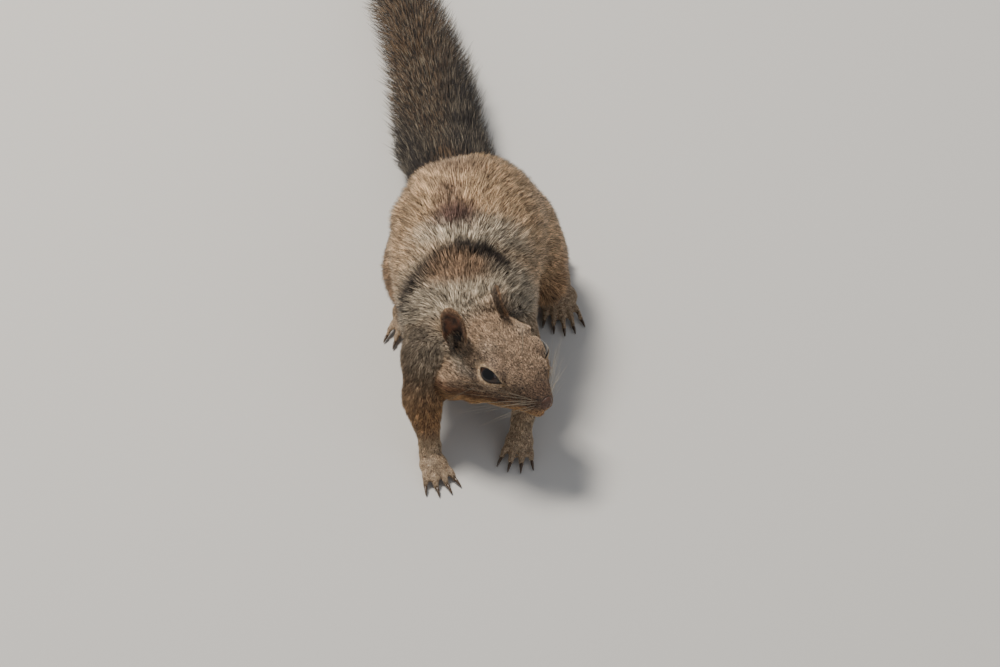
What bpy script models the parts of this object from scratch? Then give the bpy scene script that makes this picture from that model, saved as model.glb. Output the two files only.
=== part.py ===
"""A life-size rock squirrel standing crouched, looking to its left, its bushy tail laid out behind it.

The animal faces -Y, its left side is +X, and +Z is up. The whole body is modelled in one piece, out to the
tips of its coat, and is then parted with thin cuts into the head, neck, trunk, tail, legs and feet. Eyes,
ears and claws are pieces of their own. Lengths in the tables are millimetres.
"""

import math

import bmesh
import bpy
from mathutils import Matrix, Vector

MM = 0.001
CUT = 0.3  # gap left between neighbouring pieces

# Driving dimensions
BODY_VOXEL = 0.7
BODY_TRIANGLES = 3040
FOOT_THINNING = 0.96  # the share of the trunk's thinning that reaches the toes
MELT_FACTOR, MELT_ROUNDS = 0.5, 14
HEAD_LENGTH = 60.0
EAR_LEAN = {"ear_left": (8, -19), "ear_right": (12, -8)}  # degrees back, degrees to its left
EYE_RADIUS = 6.2
EAR_HEIGHT = 32.0
EAR_WIDTH = 12.0
EAR_DEPTH = 8.5
EAR_VOXEL = 0.45
EAR_TRIANGLES = 230
EAR_OPEN_WAY = 62  # degrees from straight ahead to the way each ear opens
FORE_CLAW = 5.5
HIND_CLAW = 4.5
CLAW_STEPS = 5
CLAW_RADII = (0.9, 1.05, 0.85, 0.6, 0.28)
CLAW_TIP_HEIGHT = 0.45
LIMB_CUT_TRIANGLES = 120
SMOOTH_UNDER = math.radians(50)  # edges sharper than this stay crisp

# The head hangs from the nose tip: it looks 41 degrees to the animal's left and a little down.
NOSE = Vector((21.8, -93.2, 40.8))
HEAD_YAW, HEAD_PITCH, HEAD_ROLL = math.radians(41), math.radians(6), math.radians(-2)

# Spine from throat to tail root: centre x, y, z, half width, half height.
TRUNK = [
    (-3, -70, 39, 13, 12),
    (-8, -62, 40, 21, 17),
    (-13, -53, 41, 27.5, 21),
    (-15, -42, 43, 31.5, 26),
    (-16, -24, 45.5, 33.5, 30),
    (-16, -6, 47, 35.5, 33),
    (-15, 12, 48, 37, 34),
    (-14.5, 28, 47, 35, 32),
    (-15, 41, 43, 29, 27),
    (-16, 51, 39, 21, 20),
    (-17, 59, 34, 13, 13),
]

# Tail as its long hair shows it: centre x, y, z, half width, half height.
TAIL = [
    (-16, 48, 38, 12, 12),
    (-18, 60, 33, 16, 14),
    (-21, 74, 27, 20, 15.5),
    (-25, 92, 21, 24, 16),
    (-29, 118, 17, 26, 16.5),
    (-32, 148, 15.5, 27, 16.3),
    (-37, 178, 15, 26.5, 16),
    (-43, 208, 15, 24.5, 15.5),
    (-50, 238, 14.5, 22, 14.5),
    (-57, 262, 13.5, 17, 12.5),
    (-61, 276, 12.5, 11, 9.5),
    (-63.5, 285, 12, 4.5, 5),
]

# Head sections behind the nose tip: distance back, half width, rise above and drop below the nose line.
HEAD = [
    (0.6, 2.4, 1.8, 3.2),
    (2.0, 4.2, 3.4, 5.6),
    (5.0, 6.2, 5.2, 8.4),
    (9.0, 8.2, 7.4, 11.0),
    (13.0, 10.4, 9.6, 13.2),
    (17.5, 13.0, 11.4, 15.2),
    (22.0, 15.4, 13.4, 17.2),
    (27.0, 17.4, 15.0, 18.6),
    (33.0, 19.4, 16.2, 19.4),
    (39.0, 20.6, 16.6, 19.4),
    (45.0, 21.0, 16.2, 19.0),
    (51.0, 20.6, 15.0, 18.4),
    (57.0, 19.6, 13.0, 17.6),
    (64.0, 17.0, 10.5, 15.6),
    (70.0, 11.0, 7.0, 11.0),
]

# Each foot: heel or wrist, heading from straight ahead (positive turns to +X), side (+1 left, -1 right).
FEET = {
    "forefoot_right": dict(root=(-31.8, -88.0), heading=19, side=-1, fore=True),
    "forefoot_left": dict(root=(8.8, -72.5), heading=-8, side=1, fore=True),
    "hindfoot_right": dict(root=(-38.5, 42.0), heading=-7, side=-1, fore=False),
    "hindfoot_left": dict(root=(23.8, 53.0), heading=6, side=1, fore=False),
}
# Toes, from the inner side of the foot: offset across, splay in degrees, length, thickness.
FORE_TOES = [
    (-5.1, -16, 7.8, 1.45),
    (-1.8, -5, 9.6, 1.5),
    (1.8, 5, 9.6, 1.5),
    (5.1, 16, 8.0, 1.45),
]
HIND_TOES = [
    (-6.2, -15, 10.5, 1.35),
    (-3.2, -6, 14.0, 1.4),
    (0.0, 0, 15.5, 1.45),
    (3.2, 6, 14.8, 1.4),
    (6.2, 15, 11.8, 1.35),
]
FORE_PALM = 8.6
HIND_SOLE = 37.5


def clear_scene():
    for obj in list(bpy.data.objects):
        bpy.data.objects.remove(obj)


def collection(name):
    made = bpy.data.collections.new(name)
    bpy.context.scene.collection.children.link(made)
    return made


def material(name, colour, roughness):
    made = bpy.data.materials.new(name)
    made.use_nodes = True
    shader = made.node_tree.nodes["Principled BSDF"]
    shader.inputs["Base Color"].default_value = (*colour, 1)
    shader.inputs["Roughness"].default_value = roughness
    shader.inputs["Metallic"].default_value = 0.0
    return made


def new_object(name, mesh, home):
    obj = bpy.data.objects.new(name, mesh)
    home.objects.link(obj)
    return obj


def object_from_bmesh(name, bm, home):
    mesh = bpy.data.meshes.new(name)
    bm.to_mesh(mesh)
    bm.free()
    return new_object(name, mesh, home)


def settled(obj):
    """The object with its modifiers and its curve turned into a plain mesh with its place applied."""
    bpy.context.view_layer.update()
    graph = bpy.context.evaluated_depsgraph_get()
    mesh = bpy.data.meshes.new_from_object(obj.evaluated_get(graph))
    mesh.transform(obj.matrix_world)
    bm = bmesh.new()
    bm.from_mesh(mesh)
    bmesh.ops.remove_doubles(bm, verts=bm.verts, dist=1e-6)
    bm.to_mesh(mesh)
    bm.free()
    name, home = obj.name, obj.users_collection[0]
    bpy.data.objects.remove(obj)
    return new_object(name, mesh, home)


def joined(name, objects, home):
    """One object that holds the meshes of all of them."""
    bm = bmesh.new()
    for obj in objects:
        bm.from_mesh(obj.data)
        bpy.data.objects.remove(obj)
    return object_from_bmesh(name, bm, home)


# ---------------------------------------------------------------- shapes


def loft(name, rings, home):
    """A closed skin over rings of points that all have the same count."""
    bm = bmesh.new()
    rows = [[bm.verts.new(Vector(p) * MM) for p in ring] for ring in rings]
    count = len(rows[0])
    for row, after in zip(rows, rows[1:]):
        for i in range(count):
            j = (i + 1) % count
            bm.faces.new((row[i], row[j], after[j], after[i]))
    bm.faces.new(rows[0][::-1])
    bm.faces.new(rows[-1])
    bmesh.ops.recalc_face_normals(bm, faces=bm.faces)
    return object_from_bmesh(name, bm, home)


def spine_rings(stations, roundness=2.2, count=32):
    """Upright ovals square to a spine, one for each station."""
    centres = [Vector(s[:3]) for s in stations]
    rings = []
    for i, station in enumerate(stations):
        ahead = centres[min(i + 1, len(centres) - 1)]
        behind = centres[max(i - 1, 0)]
        along = (ahead - behind).normalized()
        across = along.cross(Vector((0, 0, 1))).normalized()
        up = across.cross(along)
        ring = []
        for k in range(count):
            turn = 2 * math.pi * k / count
            wide, tall = math.cos(turn), math.sin(turn)
            u = math.copysign(abs(wide) ** (2 / roundness), wide) * station[3]
            v = math.copysign(abs(tall) ** (2 / roundness), tall) * station[4]
            ring.append(centres[i] + across * u + up * v)
        rings.append(ring)
    return rings


def head_frame():
    """Turns head lengths (left, back, up from the nose tip) into places on the animal."""
    forward = Vector(
        (
            math.sin(HEAD_YAW) * math.cos(HEAD_PITCH),
            -math.cos(HEAD_YAW) * math.cos(HEAD_PITCH),
            -math.sin(HEAD_PITCH),
        )
    )
    level = Vector((math.cos(HEAD_YAW), math.sin(HEAD_YAW), 0))
    crown = level.cross(-forward)
    left = math.cos(HEAD_ROLL) * level + math.sin(HEAD_ROLL) * crown
    up = left.cross(-forward)
    turn = Matrix((left, -forward, up)).transposed().to_4x4()
    return Matrix.Translation(NOSE) @ turn


HEAD_FRAME = head_frame()


def on_head(left, forward, up):
    return HEAD_FRAME @ Vector((left, -forward, up))


def head_rings(count=32, roundness=2.15):
    rings = []
    for back, half_width, rise, drop in HEAD:
        ring = []
        for k in range(count):
            turn = 2 * math.pi * k / count
            wide, tall = math.cos(turn), math.sin(turn)
            u = math.copysign(abs(wide) ** (2 / roundness), wide) * half_width
            v = math.copysign(abs(tall) ** (2 / roundness), tall)
            v *= rise if tall > 0 else drop
            ring.append(on_head(u, -back, v))
        rings.append(ring)
    return rings


def ball(name, centre, radii, home, turn=None, segments=24, rings=16):
    """An ellipsoid. turn is a 3x3 or 4x4 rotation."""
    bm = bmesh.new()
    bmesh.ops.create_uvsphere(bm, u_segments=segments, v_segments=rings, radius=1)
    size = Matrix.Diagonal((*[r * MM for r in radii], 1))
    spin = turn.to_3x3().to_4x4() if turn else Matrix.Identity(4)
    bmesh.ops.transform(bm, matrix=Matrix.Translation(Vector(centre) * MM) @ spin @ size, verts=bm.verts)
    bmesh.ops.recalc_face_normals(bm, faces=bm.faces)
    return object_from_bmesh(name, bm, home)


def tube(name, points, radii, home, sides=3):
    """A limb: a rounded tube through the points, as thick at each as its radius says."""
    curve = bpy.data.curves.new(name, "CURVE")
    curve.dimensions = "3D"
    curve.bevel_depth = MM
    curve.bevel_resolution = sides
    curve.use_fill_caps = True
    curve.resolution_u = 6
    spline = curve.splines.new("BEZIER")
    spline.bezier_points.add(len(points) - 1)
    for knot, place, radius in zip(spline.bezier_points, points, radii):
        knot.co = Vector(place) * MM
        knot.radius = radius
        knot.handle_left_type = knot.handle_right_type = "AUTO"
    return settled(new_object(name, curve, home))


def with_modifier(obj, kind, **values):
    modifier = obj.modifiers.new(kind.title(), kind)
    for key, value in values.items():
        setattr(modifier, key, value)
    return settled(obj)


# ---------------------------------------------------------------- feet


def foot_frame(foot):
    """Places on a foot: across (outwards), forward from its root, and up from the floor."""
    heading = math.radians(foot["heading"])
    forward = Vector((math.sin(heading), -math.cos(heading), 0))
    outward = Vector((math.cos(heading), math.sin(heading), 0)) * foot["side"]
    turn = Matrix((outward, forward, Vector((0, 0, 1)))).transposed().to_4x4()
    return Matrix.Translation((*foot["root"], 0)) @ turn


def toe_line(foot, toe):
    """The knuckle, arch and tip of one toe, and the way that its claw points."""
    across, splay, length, thickness = toe
    start = FORE_PALM if foot["fore"] else HIND_SOLE
    splay = math.radians(splay)
    place = foot_frame(foot)
    way = Vector((math.sin(splay), math.cos(splay), 0))
    back = 0.10 * abs(across) ** 1.35
    base = Vector((across * 0.8, start - 3.5 - back, thickness + 1.6))
    knuckle = Vector((across, start - back, 0)) + way * length * 0.42
    knuckle.z = thickness + (1.9 if foot["fore"] else 1.7)
    tip = Vector((across, start - back, thickness - 0.35)) + way * length
    heading = (place.to_3x3() @ way).normalized()
    return place @ base, place @ knuckle, place @ tip, heading


def foot_shapes(name, foot, home):
    place = foot_frame(foot)
    shapes = []
    if foot["fore"]:
        shapes.append(ball(name + "_palm", place @ Vector((0, 4.2, 3.7)), (6.4, 6.8, 4.6), home, place))
        shapes.append(ball(name + "_wrist", place @ Vector((0, -0.5, 6.4)), (5.0, 5.8, 6.0), home, place))
    else:
        shapes.append(ball(name + "_ball", place @ Vector((0, 31.5, 3.8)), (8.6, 8.6, 4.6), home, place))
        shapes.append(ball(name + "_sole", place @ Vector((0, 18.0, 4.8)), (6.4, 20.0, 5.4), home, place))
        shapes.append(ball(name + "_heel", place @ Vector((0, 1.5, 5.6)), (5.6, 8.0, 6.2), home, place))
    for number, toe in enumerate(FORE_TOES if foot["fore"] else HIND_TOES, 1):
        base, knuckle, tip, heading = toe_line(foot, toe)
        width = toe[3]
        points = [base, knuckle, tip - heading * 1.2]
        shapes.append(tube(f"{name}_toe{number}", points, [width, width * 1.08, width * 0.9], home))
        pad = tip - heading * 1.6
        shapes.append(ball(f"{name}_pad{number}", pad, (width * 0.95,) * 3, home, segments=12, rings=8))
    return shapes


def claw(name, foot, toe, home, paint):
    """A claw curves from the toe's tip down to just over the floor."""
    _, _, tip, heading = toe_line(foot, toe)
    length = FORE_CLAW if foot["fore"] else HIND_CLAW
    lift = Vector((0, 0, 1))
    root = tip - heading * 1.6 + lift * 0.5
    curve_points = []
    for step in range(CLAW_STEPS):
        share = step / (CLAW_STEPS - 1)
        drop = (root.z - CLAW_TIP_HEIGHT) * share**2.2
        curve_points.append(root + heading * length * share - lift * drop)
    curve = bpy.data.curves.new(name, "CURVE")
    curve.dimensions = "3D"
    curve.bevel_depth = MM
    curve.bevel_resolution = 0
    curve.use_fill_caps = True
    spline = curve.splines.new("POLY")
    spline.points.add(len(curve_points) - 1)
    for knot, place, radius in zip(spline.points, curve_points, CLAW_RADII):
        knot.co = (*(Vector(place) * MM), 1)
        knot.radius = radius
    made = settled(new_object(name, curve, home))
    made.data.materials.append(paint)
    return made


# ---------------------------------------------------------------- the body in one piece


LIMBS = {
    # shoulder, elbow, wrist
    "foreleg_right": ((-32, -58, 40), (-35.5, -72, 25), (-31.3, -88, 9)),
    "foreleg_left": ((4, -41, 38), (13, -51, 23), (8.8, -72.5, 9)),
    # haunch, knee, heel
    "hindleg_right": ((-38, 17, 35), (-39.5, -2, 25), (-38.5, 42, 8)),
    "hindleg_left": ((14, 24, 34), (20.5, 5, 25), (23.8, 52, 8)),
}


def limb_shapes(name, home, extra=0.0):
    """The masses of one limb. extra thickens them all."""
    top, bend, end = LIMBS[name]
    side = 1 if name.endswith("left") else -1
    tilt = Matrix.Rotation(math.radians(side * -18), 4, "Y") @ Matrix.Rotation(math.radians(-14), 4, "X")
    middle = [a * 0.5 + b * 0.5 for a, b in zip(bend, end)]
    if name.startswith("foreleg"):
        size, upper, lower = (14, 17, 18), [12.5, 10.5], [10.5, 8.4, 5.6]
    else:
        size, upper, lower = (16, 30, 29), [17, 12.5], [11, 9, 7]
    return [
        ball(name + "_top", top, [r + extra for r in size], home, tilt),
        ball(name + "_bend", bend, [lower[0] + extra] * 3, home),
        tube(name + "_upper", [top, bend], [r + extra for r in upper], home),
        tube(name + "_lower", [bend, middle, end], [r + extra for r in lower], home),
    ]


def head_shapes(home):
    """The head's own masses over its sections: muzzle, lips, brows, cheeks and chin."""
    turn = HEAD_FRAME
    shapes = [loft("head_core", head_rings(), home)]
    for side in (1, -1):
        shapes.append(ball("lip", on_head(side * 3.9, -8.0, -3.8), (4.2, 6.5, 5.0), home, turn))
        shapes.append(ball("brow", on_head(side * 10.6, -26.5, 9.6), (4.4, 8.5, 4.6), home, turn))
        shapes.append(ball("cheek", on_head(side * 12.0, -38.0, -7.5), (9.5, 13.0, 11.0), home, turn))
        shapes.append(ball("ear_root", on_head(side * 14.5, -47.5, 4.0), (6.0, 8.0, 9.0), home, turn))
    shapes.append(ball("nose_pad", on_head(0, -2.4, 0.4), (3.7, 3.0, 3.1), home, turn))
    shapes.append(ball("chin", on_head(0, -9.0, -8.8), (4.2, 6.5, 4.0), home, turn))
    shapes.append(ball("throat", (-20, -67, 36.5), (13, 14, 12.5), home))
    return shapes


def smooth_weights(obj):
    """Vertex groups that melt the trunk together, the head a little and the toes hardly at all."""
    group = obj.vertex_groups.new(name="melt")
    nose = NOSE * MM
    for vert in obj.data.vertices:
        place = vert.co
        weight = 1.0
        if (place - nose).length < HEAD_LENGTH * MM:
            reach = (place - nose).length / (HEAD_LENGTH * MM)
            weight = 0.12 + 0.5 * reach * reach
        if place.z < 12 * MM and place.y < 62 * MM:
            weight = min(weight, 0.10 + 0.9 * max(0.0, place.z / MM - 7.0) / 5.0)
        group.add([vert.index], weight, "REPLACE")
    return group


def thinning_weights(obj):
    """A vertex group that thins the feet less than the rest."""
    group = obj.vertex_groups.new(name="thin")
    for vert in obj.data.vertices:
        on_foot = vert.co.z < 10 * MM and vert.co.y < 62 * MM
        group.add([vert.index], FOOT_THINNING if on_foot else 1.0, "REPLACE")


def whole_body(home):
    shapes = [loft("trunk_core", spine_rings(TRUNK), home), loft("tail_core", spine_rings(TAIL), home)]
    shapes += head_shapes(home)
    for name in LIMBS:
        shapes += limb_shapes(name, home)
    for name, foot in FEET.items():
        shapes += foot_shapes(name, foot, home)
    body = joined("body", shapes, home)
    body = with_modifier(body, "REMESH", mode="VOXEL", voxel_size=BODY_VOXEL * MM)
    smooth_weights(body)
    body.modifiers.new("Melt", "SMOOTH")
    melt = body.modifiers["Melt"]
    melt.factor, melt.iterations, melt.vertex_group = MELT_FACTOR, MELT_ROUNDS, "melt"
    body = settled(body)
    body = with_modifier(body, "SMOOTH", factor=0.5, iterations=1)
    body = with_modifier(body, "TRIANGULATE")
    ratio = BODY_TRIANGLES / len(body.data.polygons)
    thinning_weights(body)
    return with_modifier(body, "DECIMATE", ratio=ratio, use_collapse_triangulate=True, vertex_group="thin")


def ear(name, side, home, paint):
    """A cupped pinna: a tapered shell with its bowl hollowed from the outer front side."""
    bm = bmesh.new()
    bmesh.ops.create_uvsphere(bm, u_segments=28, v_segments=20, radius=1)
    for vert in bm.verts:
        taper = 1.0 - 0.22 * max(0.0, vert.co.z)
        vert.co.x *= taper
        vert.co.x *= EAR_WIDTH / 2
        vert.co.y *= EAR_DEPTH / 2 * taper
        vert.co.z *= EAR_HEIGHT / 2
        vert.co *= MM
    shell = object_from_bmesh(name, bm, home)
    bowl = ball(
        name + "_bowl",
        (0, -EAR_DEPTH * 0.32, 0.8),
        (EAR_WIDTH * 0.41, EAR_DEPTH * 0.55, EAR_HEIGHT * 0.43),
        home,
        segments=28,
        rings=20,
    )
    cut = shell.modifiers.new("Bowl", "BOOLEAN")
    cut.operation, cut.object = "DIFFERENCE", bowl
    shell = settled(shell)
    bpy.data.objects.remove(bowl)
    shell = with_modifier(shell, "REMESH", mode="VOXEL", voxel_size=EAR_VOXEL * MM)
    shell = with_modifier(shell, "SMOOTH", factor=0.5, iterations=4)
    shell = with_modifier(shell, "TRIANGULATE")
    shell = with_modifier(shell, "DECIMATE", ratio=EAR_TRIANGLES / len(shell.data.polygons))
    lean_back, lean_out = EAR_LEAN[name]
    open_way = Matrix.Rotation(math.radians(side * EAR_OPEN_WAY), 4, "Z")
    lean = Matrix.Rotation(math.radians(-lean_back), 4, "X")
    lean = lean @ Matrix.Rotation(math.radians(lean_out), 4, "Y")
    rise = Matrix.Translation((0, 0, 0.31 * EAR_HEIGHT * MM))
    root = Matrix.Translation(on_head(side * 15.4, -46.0, 5.8) * MM)
    shell.data.transform(root @ HEAD_FRAME.to_3x3().to_4x4() @ lean @ rise @ open_way)
    shell.data.materials.append(paint)
    return shell


def eye_centre(side):
    return on_head(side * 12.4, -26.0, 5.4)


# ---------------------------------------------------------------- cutting


def boolean(obj, other, operation):
    modifier = obj.modifiers.new("Cut", "BOOLEAN")
    modifier.operation, modifier.object = operation, other
    return settled(obj)


def one_lump(obj):
    """Drops the crumbs that a cut leaves beside the piece itself."""
    bm = bmesh.new()
    bm.from_mesh(obj.data)
    waiting, lumps = set(bm.verts), []
    while waiting:
        lump, edge = set(), [waiting.pop()]
        while edge:
            vert = edge.pop()
            lump.add(vert)
            edge += [v for v in (e.other_vert(vert) for e in vert.link_edges) if v in waiting]
            waiting.difference_update(edge)
        lumps.append(lump)
    crumbs = [v for lump in sorted(lumps, key=len)[:-1] for v in lump]
    bmesh.ops.delete(bm, geom=crumbs, context="VERTS")
    bm.to_mesh(obj.data)
    bm.free()


def grown(obj, by):
    """A copy pushed out along its normals."""
    bm = bmesh.new()
    bm.from_mesh(obj.data)
    bm.normal_update()
    for vert, push in [(v, v.normal * by * MM) for v in bm.verts]:
        vert.co += push
    copy = object_from_bmesh(obj.name + "_grown", bm, obj.users_collection[0])
    return copy


def carve(body, name, region, home, paint):
    """Takes what of the body lies in the region as a piece of its own, and leaves a thin gap round it."""
    piece = new_object(name, body.data.copy(), home)
    piece = boolean(piece, region, "INTERSECT")
    one_lump(piece)
    wider = grown(region, CUT)
    body = boolean(body, wider, "DIFFERENCE")
    bpy.data.objects.remove(wider)
    bpy.data.objects.remove(region)
    piece.data.materials.clear()
    piece.data.materials.append(paint)
    return body


def block(name, low, high, home, turn=None):
    """A box between two corners."""
    bm = bmesh.new()
    bmesh.ops.create_cube(bm, size=1)
    low, high = Vector(low), Vector(high)
    size = Matrix.Diagonal((*((high - low) * MM), 1))
    spin = turn.to_3x3().to_4x4() if turn else Matrix.Identity(4)
    bmesh.ops.transform(bm, matrix=Matrix.Translation((low + high) / 2 * MM) @ spin @ size, verts=bm.verts)
    return object_from_bmesh(name, bm, home)


def stand_on_floor(body):
    """Cuts the soles and the tail's underside to flats at floor level."""
    bm = bmesh.new()
    bm.from_mesh(body.data)
    everything = list(bm.verts) + list(bm.edges) + list(bm.faces)
    floor = {"plane_co": (0, 0, 0), "plane_no": (0, 0, 1)}
    cut = bmesh.ops.bisect_plane(bm, geom=everything, clear_inner=True, **floor)
    edges = [e for e in cut["geom_cut"] if isinstance(e, bmesh.types.BMEdge)]
    bmesh.ops.holes_fill(bm, edges=edges, sides=0)
    bmesh.ops.triangulate(bm, faces=bm.faces)
    bm.to_mesh(body.data)
    bm.free()


def foot_region(name, foot, helpers):
    """A box round the foot, closed over it by a level cut at the wrist or heel."""
    length, top = (26, 9.6) if foot["fore"] else (58, 10.4)
    place = foot_frame(foot)
    middle = place @ Vector((0, length / 2 - 9, 0))
    bm = bmesh.new()
    bmesh.ops.create_cube(bm, size=1)
    size = Matrix.Diagonal((32 * MM, (length + 18) * MM, 2 * top * MM, 1))
    turn = Matrix.Rotation(math.radians(foot["heading"]), 4, "Z")
    bmesh.ops.transform(bm, matrix=Matrix.Translation(middle * MM) @ turn @ size, verts=bm.verts)
    return object_from_bmesh(name + "_region", bm, helpers)


def limb_region(name, helpers):
    """The limb's own masses, a little thicker, in one lump."""
    end = LIMBS[name][2]
    cuff = (9.5, 10, 10) if name.startswith("foreleg") else (11, 15, 11)
    shapes = limb_shapes(name, helpers, 1.8) + [ball("cuff", end, cuff, helpers)]
    region = joined(name + "_region", shapes, helpers)
    region = with_modifier(region, "REMESH", mode="VOXEL", voxel_size=2.5 * MM)
    region = with_modifier(region, "SMOOTH", factor=0.5, iterations=3)
    region = with_modifier(region, "TRIANGULATE")
    return with_modifier(region, "DECIMATE", ratio=LIMB_CUT_TRIANGLES / len(region.data.polygons))


def shift_to_origin(objects):
    """Moves the finished pieces so that the origin is under the middle of the whole, on the floor."""
    corners = [v.co for obj in objects for v in obj.data.vertices]
    low = Vector([min(c[i] for c in corners) for i in range(3)])
    high = Vector([max(c[i] for c in corners) for i in range(3)])
    move = Vector((-(low.x + high.x) / 2, -(low.y + high.y) / 2, -low.z))
    for obj in objects:
        obj.data.transform(Matrix.Translation(move))
    return move


def shade_round(obj):
    """Smooth shading over the soft forms, with crisp edges where a cut meets them."""
    obj.data.shade_smooth()
    obj.data.set_sharp_from_angle(angle=SMOOTH_UNDER)


def build():
    clear_scene()
    home = collection("rock_squirrel")
    helpers = collection("helpers")
    coat = material("coat", (0.36, 0.27, 0.19), 0.9)
    tail_coat = material("tail_coat", (0.20, 0.17, 0.14), 0.9)
    foot_coat = material("foot_coat", (0.50, 0.42, 0.32), 0.9)
    ear_skin = material("ear_skin", (0.30, 0.19, 0.13), 0.8)
    eye_gloss = material("eye_gloss", (0.010, 0.008, 0.007), 0.08)
    nose_leather = material("nose_leather", (0.10, 0.055, 0.05), 0.45)
    claw_horn = material("claw_horn", (0.09, 0.075, 0.06), 0.4)

    body = whole_body(helpers)
    stand_on_floor(body)

    for side, word in ((1, "left"), (-1, "right")):
        centre = eye_centre(side)
        socket = ball("socket", centre, (EYE_RADIUS + 2 * CUT,) * 3, helpers, HEAD_FRAME, 12, 8)
        body = boolean(body, socket, "DIFFERENCE")
        bpy.data.objects.remove(socket)
        eye = ball("eye_" + word, centre, (EYE_RADIUS,) * 3, home, HEAD_FRAME, 12, 8)
        eye.data.materials.append(eye_gloss)
        pinna = ear("ear_" + word, side, home, ear_skin)
        hull = grown(pinna, CUT)
        body = boolean(body, hull, "DIFFERENCE")
        bpy.data.objects.remove(hull)

    for name, foot in FEET.items():
        toes = FORE_TOES if foot["fore"] else HIND_TOES
        for number, toe in enumerate(toes, 1):
            nail = claw(f"claw_{name}_{number}", foot, toe, home, claw_horn)
            hull = grown(nail, CUT)
            body = boolean(body, hull, "DIFFERENCE")
            bpy.data.objects.remove(hull)

    for name, foot in FEET.items():
        body = carve(body, name, foot_region(name, foot, helpers), home, foot_coat)

    nose_region = ball("nose_region", on_head(0, 0.2, 0.6), (5.0, 4.6, 4.4), helpers, HEAD_FRAME, 12, 8)
    body = carve(body, "nose", nose_region, home, nose_leather)
    for name in LIMBS:
        body = carve(body, name, limb_region(name, helpers), home, coat)
    head_region = ball("head_region", on_head(0, -12, 0), (40, 50, 40), helpers, HEAD_FRAME, 16, 10)
    body = carve(body, "head", head_region, home, coat)
    neck_region = ball("neck_region", on_head(0, -22, 0), (58, 60, 58), helpers, HEAD_FRAME, 16, 10)
    body = carve(body, "neck", neck_region, home, coat)
    for name, start, end in (
        ("tail_tip", 212, 400),
        ("tail_middle", 138, 212),
        ("tail_base", 62, 138),
    ):
        region = block("tail_region", (-120, start, -20), (60, end, 90), helpers)
        body = carve(body, name, region, home, tail_coat)
    one_lump(body)
    body.name = "trunk"
    body.data.materials.clear()
    body.data.materials.append(coat)
    helpers.objects.unlink(body)
    home.objects.link(body)
    for obj in home.objects:
        shade_round(obj)
    return shift_to_origin(list(home.objects))


STANCE_SHIFT = build()
print("moved by, mm:", [round(length / MM, 2) for length in STANCE_SHIFT])
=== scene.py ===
# %% [markdown]
# A rock squirrel noses along the ground, life size, as a museum would show it. The solids already hold
# its outline out to the tips of the coat. Here one skin is drawn over them, a little deeper, and fur is
# laid on that skin as thin solid tufts, with eyes, claws and whiskers as pieces of their own.

import math

import bmesh
import bpy
import numpy as np
from mathutils import Matrix, Vector
from mathutils.kdtree import KDTree


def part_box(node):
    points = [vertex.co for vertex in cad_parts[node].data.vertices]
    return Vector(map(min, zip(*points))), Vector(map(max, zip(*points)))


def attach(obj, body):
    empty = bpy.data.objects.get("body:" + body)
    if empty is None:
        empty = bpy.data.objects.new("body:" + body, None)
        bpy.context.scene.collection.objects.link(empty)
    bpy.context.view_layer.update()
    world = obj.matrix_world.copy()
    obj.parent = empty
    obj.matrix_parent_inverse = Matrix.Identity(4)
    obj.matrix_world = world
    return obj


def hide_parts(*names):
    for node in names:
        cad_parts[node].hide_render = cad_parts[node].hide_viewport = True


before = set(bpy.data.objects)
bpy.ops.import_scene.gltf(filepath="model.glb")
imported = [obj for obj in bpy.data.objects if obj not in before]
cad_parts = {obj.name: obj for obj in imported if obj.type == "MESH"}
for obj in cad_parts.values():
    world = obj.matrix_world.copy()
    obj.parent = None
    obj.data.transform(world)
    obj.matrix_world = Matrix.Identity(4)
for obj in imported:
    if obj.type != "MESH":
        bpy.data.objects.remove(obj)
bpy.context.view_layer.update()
MM = 0.001
BODY = "root"


def rounded(values, digits=1):
    return [round(float(value), digits) for value in values]


def add_object(name, data):
    piece = bpy.data.objects.new(name, data)
    bpy.context.scene.collection.objects.link(piece)
    return piece


def deselect_all():
    if bpy.context.mode != "OBJECT":
        bpy.ops.object.mode_set(mode="OBJECT")
    bpy.ops.object.select_all(action="DESELECT")


def select_only(*pieces):
    """Selects the pieces and makes the first one active."""
    deselect_all()
    for piece in pieces:
        piece.select_set(True)
    bpy.context.view_layer.objects.active = pieces[0]


# %% [markdown]
# A camera two metres off, with a long lens, flattens the animal the way a wildlife lens does. It looks
# down by 42 degrees on the floor between the feet, so the tail runs up and out of the picture.

# %% Camera
LOOK_AT = Vector((0.0164, -0.088, 0.0))
LOOK_DOWN = math.radians(42)
CAMERA_DISTANCE = 2.0
LENS = 154.8

camera_data = bpy.data.cameras.new("camera")
camera_data.lens = LENS
camera = add_object("camera", camera_data)
away = Vector((0, -math.cos(LOOK_DOWN), math.sin(LOOK_DOWN)))
camera.location = LOOK_AT + away * CAMERA_DISTANCE
camera.rotation_euler = (math.pi / 2 - LOOK_DOWN, 0, 0)
bpy.context.scene.camera = camera
print("camera at", rounded(camera.location, 3))

# %% [markdown]
# Fur is read by the light that rakes across it, so the room has one large warm light high on the
# animal's right, a weak cool one opposite to open the shadows, and a pale even sky.

# %% Floor and light
FLOOR_SIZE, FLOOR_DROP = 12, 0.0002
ANIMAL_MIDDLE = Vector((0, -0.08, 0.03))
WARM, COOL = (1.0, 0.95, 0.87), (0.9, 0.94, 1.0)
SKY_STRENGTH = 0.36


def lit_material(name, colour, roughness=0.5):
    """A new material and its Principled shader."""
    material = bpy.data.materials.new(name)
    material.use_nodes = True
    shader = material.node_tree.nodes["Principled BSDF"]
    shader.inputs["Base Color"].default_value = (*colour, 1)
    shader.inputs["Roughness"].default_value = roughness
    return material, shader


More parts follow.
